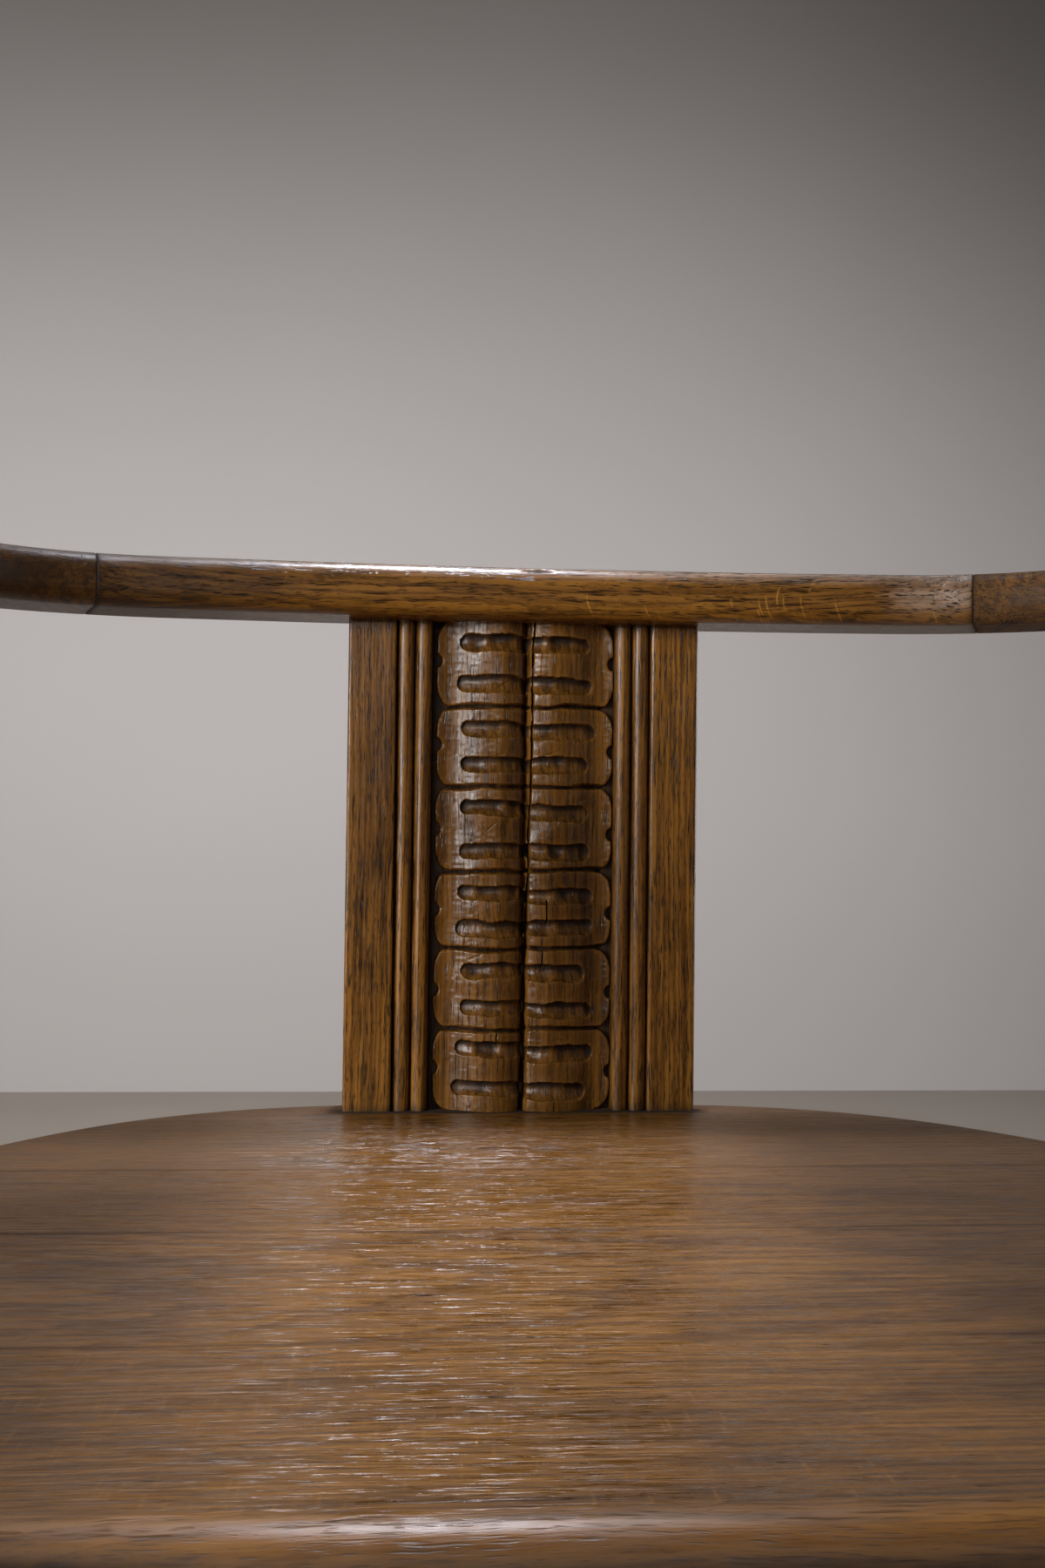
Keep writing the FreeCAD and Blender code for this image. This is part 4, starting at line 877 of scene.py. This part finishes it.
def armSupport(name, side):
    # half thickness over the width, with edge rounds and reed grooves, sheared upward along the lean
    p = supportPlan
    hw, ht, r = p["wide"] / 2, p["thick"] / 2, p["round"]
    edge = hw - r + r * np.sin(np.linspace(0, quarter, 10))
    y = np.unique(np.concatenate([np.linspace(-hw + r, hw - r, 260), edge, -edge]))
    t = ht - r + np.sqrt(np.maximum(r * r - np.maximum(np.abs(y) - hw + r, 0) ** 2, 0))
    for k in range(p["grooves"]):
        off = np.abs(np.abs(y) - (hw - p["grooveFrom"] - k * p["groovePitch"]))
        bite = np.sqrt(np.maximum(p["groove"] ** 2 - off ** 2, 0)) - p["sink"]
        t = t - np.maximum(bite, 0)
    rows = np.linspace(0, 1, 60)
    ringX = np.concatenate([t, -t[::-1]])
    ringY = np.concatenate([y, y[::-1]])
    lean = p["footX"] + (p["headX"] - p["footX"]) * rows
    x = side * (lean[:, None] + ringX[None, :])
    yy = p["y"] + np.repeat(ringY[None, :], len(rows), 0)
    z = np.repeat((p["low"] + p["tall"] * rows)[:, None], len(ringX), 1)
    # dirt and painted shade in the reed grooves; dark lines at both ends
    low = np.concatenate([ht - t, (ht - t)[::-1]]) * (np.abs(ringY) < hw - r)
    ends = np.exp(-rows * p["tall"] / 2.5) + np.exp(-(1 - rows) * p["tall"] / 2.5)
    grimeAndShade = np.clip(low[None, :] * 0.9 + ends[:, None] * 0.6, 0, 1)
    marks = {"grimeAndShade": grimeAndShade, "wearAndSheen": np.zeros_like(grimeAndShade)}
    return skin(name, np.stack([x, yy, z], -1), sharp=55.0, marks=marks)


postOak = {"turn": alongZ, "ring": 2.5, "rays": 0.25, "shade": 0.12}
dress(armSupport("leftArmPost", -1.0), "seat", "oak",
      oak("oakLeftPost", pith=(210.0, 160.0), seed=9.0, **postOak), "left_arm_support")
dress(armSupport("rightArmPost", 1.0), "seat", "oak",
      oak("oakRightPost", pith=(-190.0, 140.0), seed=10.0, **postOak), "right_arm_support")
print("arm supports ready")


# spindle with a real helix

spindlePlan = {
    "low": 156.7, "top": 331.7, "root": 14.0, "crest": 16.0, "pitch": 8.0, "flat": 3.0, "flank": 1.2,
    "keyHalf": 3.0, "keyFloor": 12.0, "keyStop": 14.0,
    "collarTop": 341.7, "collar": 24.0, "journal": 12.0, "studLow": 401.15, "studTop": 420.15, "stud": 9.0,
}


def spindleScrew():
    # radius over turn and height: a trapezoid of height less turn over pitch, with a keyway cut flat
    p = spindlePlan
    z = np.linspace(p["low"], p["top"], 420)
    a = np.linspace(0, 2 * math.pi, 96, endpoint=False)
    aa, zz = np.meshgrid(a, z)
    phase = np.mod((zz - p["low"]) / p["pitch"] - aa / (2 * math.pi), 1.0) * p["pitch"]
    far = 2 * p["flank"] + p["flat"] - phase
    up = np.clip(phase / p["flank"], 0, 1) * np.clip(far / p["flank"], 0, 1)
    up = np.maximum(up, smooth(p["top"] - 6.0, p["top"] - 5.0, zz))
    up = up * smooth(p["low"], p["low"] + 2.0, zz)
    r = p["root"] + (p["crest"] - p["root"]) * up
    slot = (np.abs(r * np.sin(aa)) < p["keyHalf"]) & (np.cos(aa) > 0) & (zz < p["top"] - p["keyStop"])
    r = np.where(slot, np.minimum(r, p["keyFloor"] / np.maximum(np.cos(aa), 0.2)), r)
    points = np.stack([r * np.sin(aa), r * np.cos(aa), zz], -1)
    return skin("spindleScrew", points, sharp=35.0)


def spindleHead():
    # turned shank: radius over height from the collar up to the stud, with eased corners
    p = spindlePlan
    low, top, studLow, studTop = p["top"], p["collarTop"], p["studLow"], p["studTop"]
    collar, journal, stud, ease = p["collar"], p["journal"], p["stud"], 0.8
    outline = np.array([(0.01, low), (collar - ease, low), (collar, low + ease), (collar, top - ease),
                        (collar - ease, top), (journal, top), (journal, studLow - 0.4),
                        (journal - 0.4, studLow), (stud, studLow), (stud, studTop - 1.2),
                        (stud - 1.2, studTop), (0.01, studTop)])
    a = np.linspace(0, 2 * math.pi, 72, endpoint=False)
    points = np.stack([outline[:, :1] * np.sin(a), outline[:, :1] * np.cos(a),
                       np.repeat(outline[:, 1:], len(a), 1)], -1)
    return skin("spindleHead", points, sharp=30.0)


dress(spindleScrew(), "spindle", "steel", oiledSteel, "spindle")
dress(spindleHead(), "spindle", "steel", oiledSteel, "spindle")
print("spindle ready")


# column, legs and ironwork: the solids' own faces, merged and shaded smooth

def smoothCopy(name, node, sharp=28.0):
    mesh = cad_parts[node].data.copy()
    mesh.name = name
    if mesh.has_custom_normals:     # normals of the loose triangles, wrong once they are merged
        mesh.attributes.remove(mesh.attributes["custom_normal"])
    merge(mesh, 1e-5)
    shade(mesh, sharp)
    return addPiece(name, mesh)


dress(smoothCopy("columnTurned", "column"), "base", "oak",
      oak("oakColumn", turn=alongZ, pith=(10.0, 14.0), ring=3.2, seed=11.0, rays=0.3, shade=0.12), "column")
legOak = {"pith": (90.0, 240.0), "ring": 2.8, "rays": 0.3, "shade": 0.12}
legs = (("RearRight", "right_rear_leg"), ("RearLeft", "left_rear_leg"),
        ("FrontLeft", "left_front_leg"), ("FrontRight", "right_front_leg"))
for k, (name, node) in enumerate(legs):
    turn = (0.0, 0.0, -math.radians(45.0 + 90.0 * k))      # the grain follows the leg
    dress(smoothCopy("leg" + name, node), "base", "oak",
          oak("oakLeg" + name, turn=turn, seed=12.0 + k, **legOak), node)
castings = (("heightWheel", "wheel", "height_wheel"), ("seatPlateCasting", "seat", "seat_plate"),
            ("columnBushCasting", "base", "column_bush"), ("tiePlateCasting", "base", "tie_plate"))
for name, body, node in castings:
    dress(smoothCopy(name, node), body, "iron", castIron, node)
rawOak = oak("rawOak", turn=alongY, pith=(60.0, 300.0), ring=2.8, seed=20.0, rays=0.3, coat=0.0, rough=0.7)
for name, node in (("leftBattenBar", "left_batten"), ("rightBattenBar", "right_batten")):
    dress(smoothCopy(name, node), "seat", "raw_oak", rawOak, node)
plainNodes = {"rail_dowels": rawOak}
for node in ("batten_screws", "plate_screws", "thrust_washer", "retaining_washer", "retaining_nut",
             "spindle_key", "bush_screws", "tie_plate_screws"):
    plainNodes[node] = oiledSteel
for node, material in plainNodes.items():
    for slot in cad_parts[node].material_slots:
        slot.material = material
print("column, legs and ironwork ready")


# stage: pale floor and wall

stagePlan = {
    "wall": 3.2, "wide": 7.0, "tall": 4.0,      # metres
    "floor": tone(152, 142, 133), "floorPale": tone(159, 149, 140),
    "paint": tone(194, 189, 188), "paintShadedTop": tone(96, 91, 88),      # painted shade: the wall darkens upward
    "gloss": 0.2,
}


def floorBuild(start):
    place = start.node("TexCoord", {}, {}, 3)
    cloud = place.noise((1.4, 1.4, 1.4), 3.0)
    grit = place.noise((160.0, 160.0, 160.0), 2.0)
    base = cloud.step(0.3, 0.7).mix(stagePlan["floor"], stagePlan["floorPale"])
    bump = start.node("Bump", {}, {"Strength": 0.2, "Distance": millimetre, "Height": grit})
    return {"Base Color": base, "Roughness": 0.55 + grit * 0.15, "Normal": bump}


def wallBuild(start):
    place = start.node("TexCoord", {}, {}, 3)
    height = start.node("SeparateXYZ", {}, {0: place}, 2)
    cloud = place.noise((0.9, 0.9, 0.9), 3.0)
    # painted shade, darker upward
    upwardShade = height.step(0.5, 2.6) + (cloud - 0.5) * 0.1
    base = upwardShade.clamp().mix(stagePlan["paint"], stagePlan["paintShadedTop"])
    return {"Base Color": base, "Roughness": 0.8 + cloud * 0.1}


def stageSheet(name, corners, build):
    mesh = bpy.data.meshes.new(name)
    mesh.from_pydata(corners, [], [(0, 1, 2, 3)])
    mesh.materials.append(finish(name, build, {"Specular IOR Level": stagePlan["gloss"]}))
    sheet = addPiece(name, mesh)


wide, wall, tall = (stagePlan[k] for k in ("wide", "wall", "tall"))
stageSheet("paleFloor", [(-wide, -wide, 0), (wide, -wide, 0), (wide, wall, 0), (-wide, wall, 0)], floorBuild)
stageSheet("paleWall", [(-wide, wall, 0), (wide, wall, 0), (wide, wall, tall), (-wide, wall, tall)],
           wallBuild)


# camera and lights

cameraPlan = {"place": (-0.0663, -0.530, 0.5766), "lens": 39.0, "yaw": -5.15, "pitch": 1.5, "roll": 0.69}


def setCamera(plan):
    # three axes from yaw about the vertical, then pitch, then roll about the view
    yaw, pitch, roll = (math.radians(plan[k]) for k in ("yaw", "pitch", "roll"))
    right = Vector((math.cos(yaw), math.sin(yaw), 0))
    level = Vector((-math.sin(yaw), math.cos(yaw), 0))
    rise = Vector((0, 0, 1))
    forward = level * math.cos(pitch) + rise * math.sin(pitch)
    up = rise * math.cos(pitch) - level * math.sin(pitch)
    across = right * math.cos(roll) + up * math.sin(roll)
    up = up * math.cos(roll) - right * math.sin(roll)
    data = bpy.data.cameras.new("photoCamera")
    data.lens = plan["lens"]
    data.sensor_width = 36.0
    data.sensor_fit = "AUTO"
    data.clip_start = 0.01
    camera = addPiece("photoCamera", data)
    turn = Matrix((across, up, -forward)).transposed().to_4x4()
    camera.matrix_world = Matrix.Translation(plan["place"]) @ turn
    bpy.context.scene.camera = camera


lightPlan = {
    "key": {"place": (-2.0, -1.5, 1.05), "aim": (0.0, 0.15, 0.55), "size": (1.0, 1.0), "power": 78.0},
    "sheen": {"place": (-0.46, -1.75, 0.95), "aim": (0.0, 0.15, 0.66), "size": (0.46, 0.15), "power": 2.8},
    "right": {"place": (1.9, -0.9, 1.3), "aim": (0.0, 0.1, 0.5), "size": (1.2, 1.6), "power": 1.0},
    "overhead": {"place": (0.02, 0.38, 2.2), "aim": (-0.03, 0.09, 0.455), "size": (0.13, 0.7),
                 "power": 0.92, "spread": 24.0, "tint": (0.83, 0.87, 1.0)},      # cool, like a window
    "rearFill": {"place": (2.4, 0.75, 0.85), "aim": (0.0, 0.0, 0.45), "size": (1.2, 1.0), "power": 26.0},
    "wallWash": {"place": (-0.5, 1.6, 2.4), "aim": (-0.6, 3.2, 0.5), "size": (3.0, 0.6), "power": 43.0},
}
worldPlan = {"colour": tone(190, 190, 192), "light": 0.08, "seen": 0.4, "shown": 0.05}


def setLights():
    for name, plan in lightPlan.items():
        data = bpy.data.lights.new(name, "AREA")
        data.shape = "RECTANGLE"
        data.size, data.size_y = plan["size"]
        data.energy = plan["power"]
        data.color = plan.get("tint", (1.0, 1.0, 1.0))
        data.spread = math.radians(plan.get("spread", 180.0))
        way = Vector(plan["aim"]) - Vector(plan["place"])
        turn = way.to_track_quat("-Z", "Y").to_matrix().to_4x4()
        addPiece(name, data).matrix_world = Matrix.Translation(plan["place"]) @ turn


def setWorld(plan):
    # paler to the camera than as light, and metal shows a little of it
    world = bpy.data.worlds.new("studio")
    world.use_nodes = True
    tree = world.node_tree
    back = tree.nodes["Background"]
    back.inputs[0].default_value = plan["colour"]
    ray = Wire(tree).node("LightPath")
    shown = ray.other("Is Glossy Ray") + ray.other("Is Transmission Ray")
    strength = ray * plan["seen"] + shown * plan["shown"] + plan["light"]
    tree.links.new(strength.socket, back.inputs[1])
    bpy.context.scene.world = world


setCamera(cameraPlan)
setLights()
setWorld(worldPlan)
bpy.context.scene.view_settings.view_transform = "Standard"
print("stage, camera and lights ready")
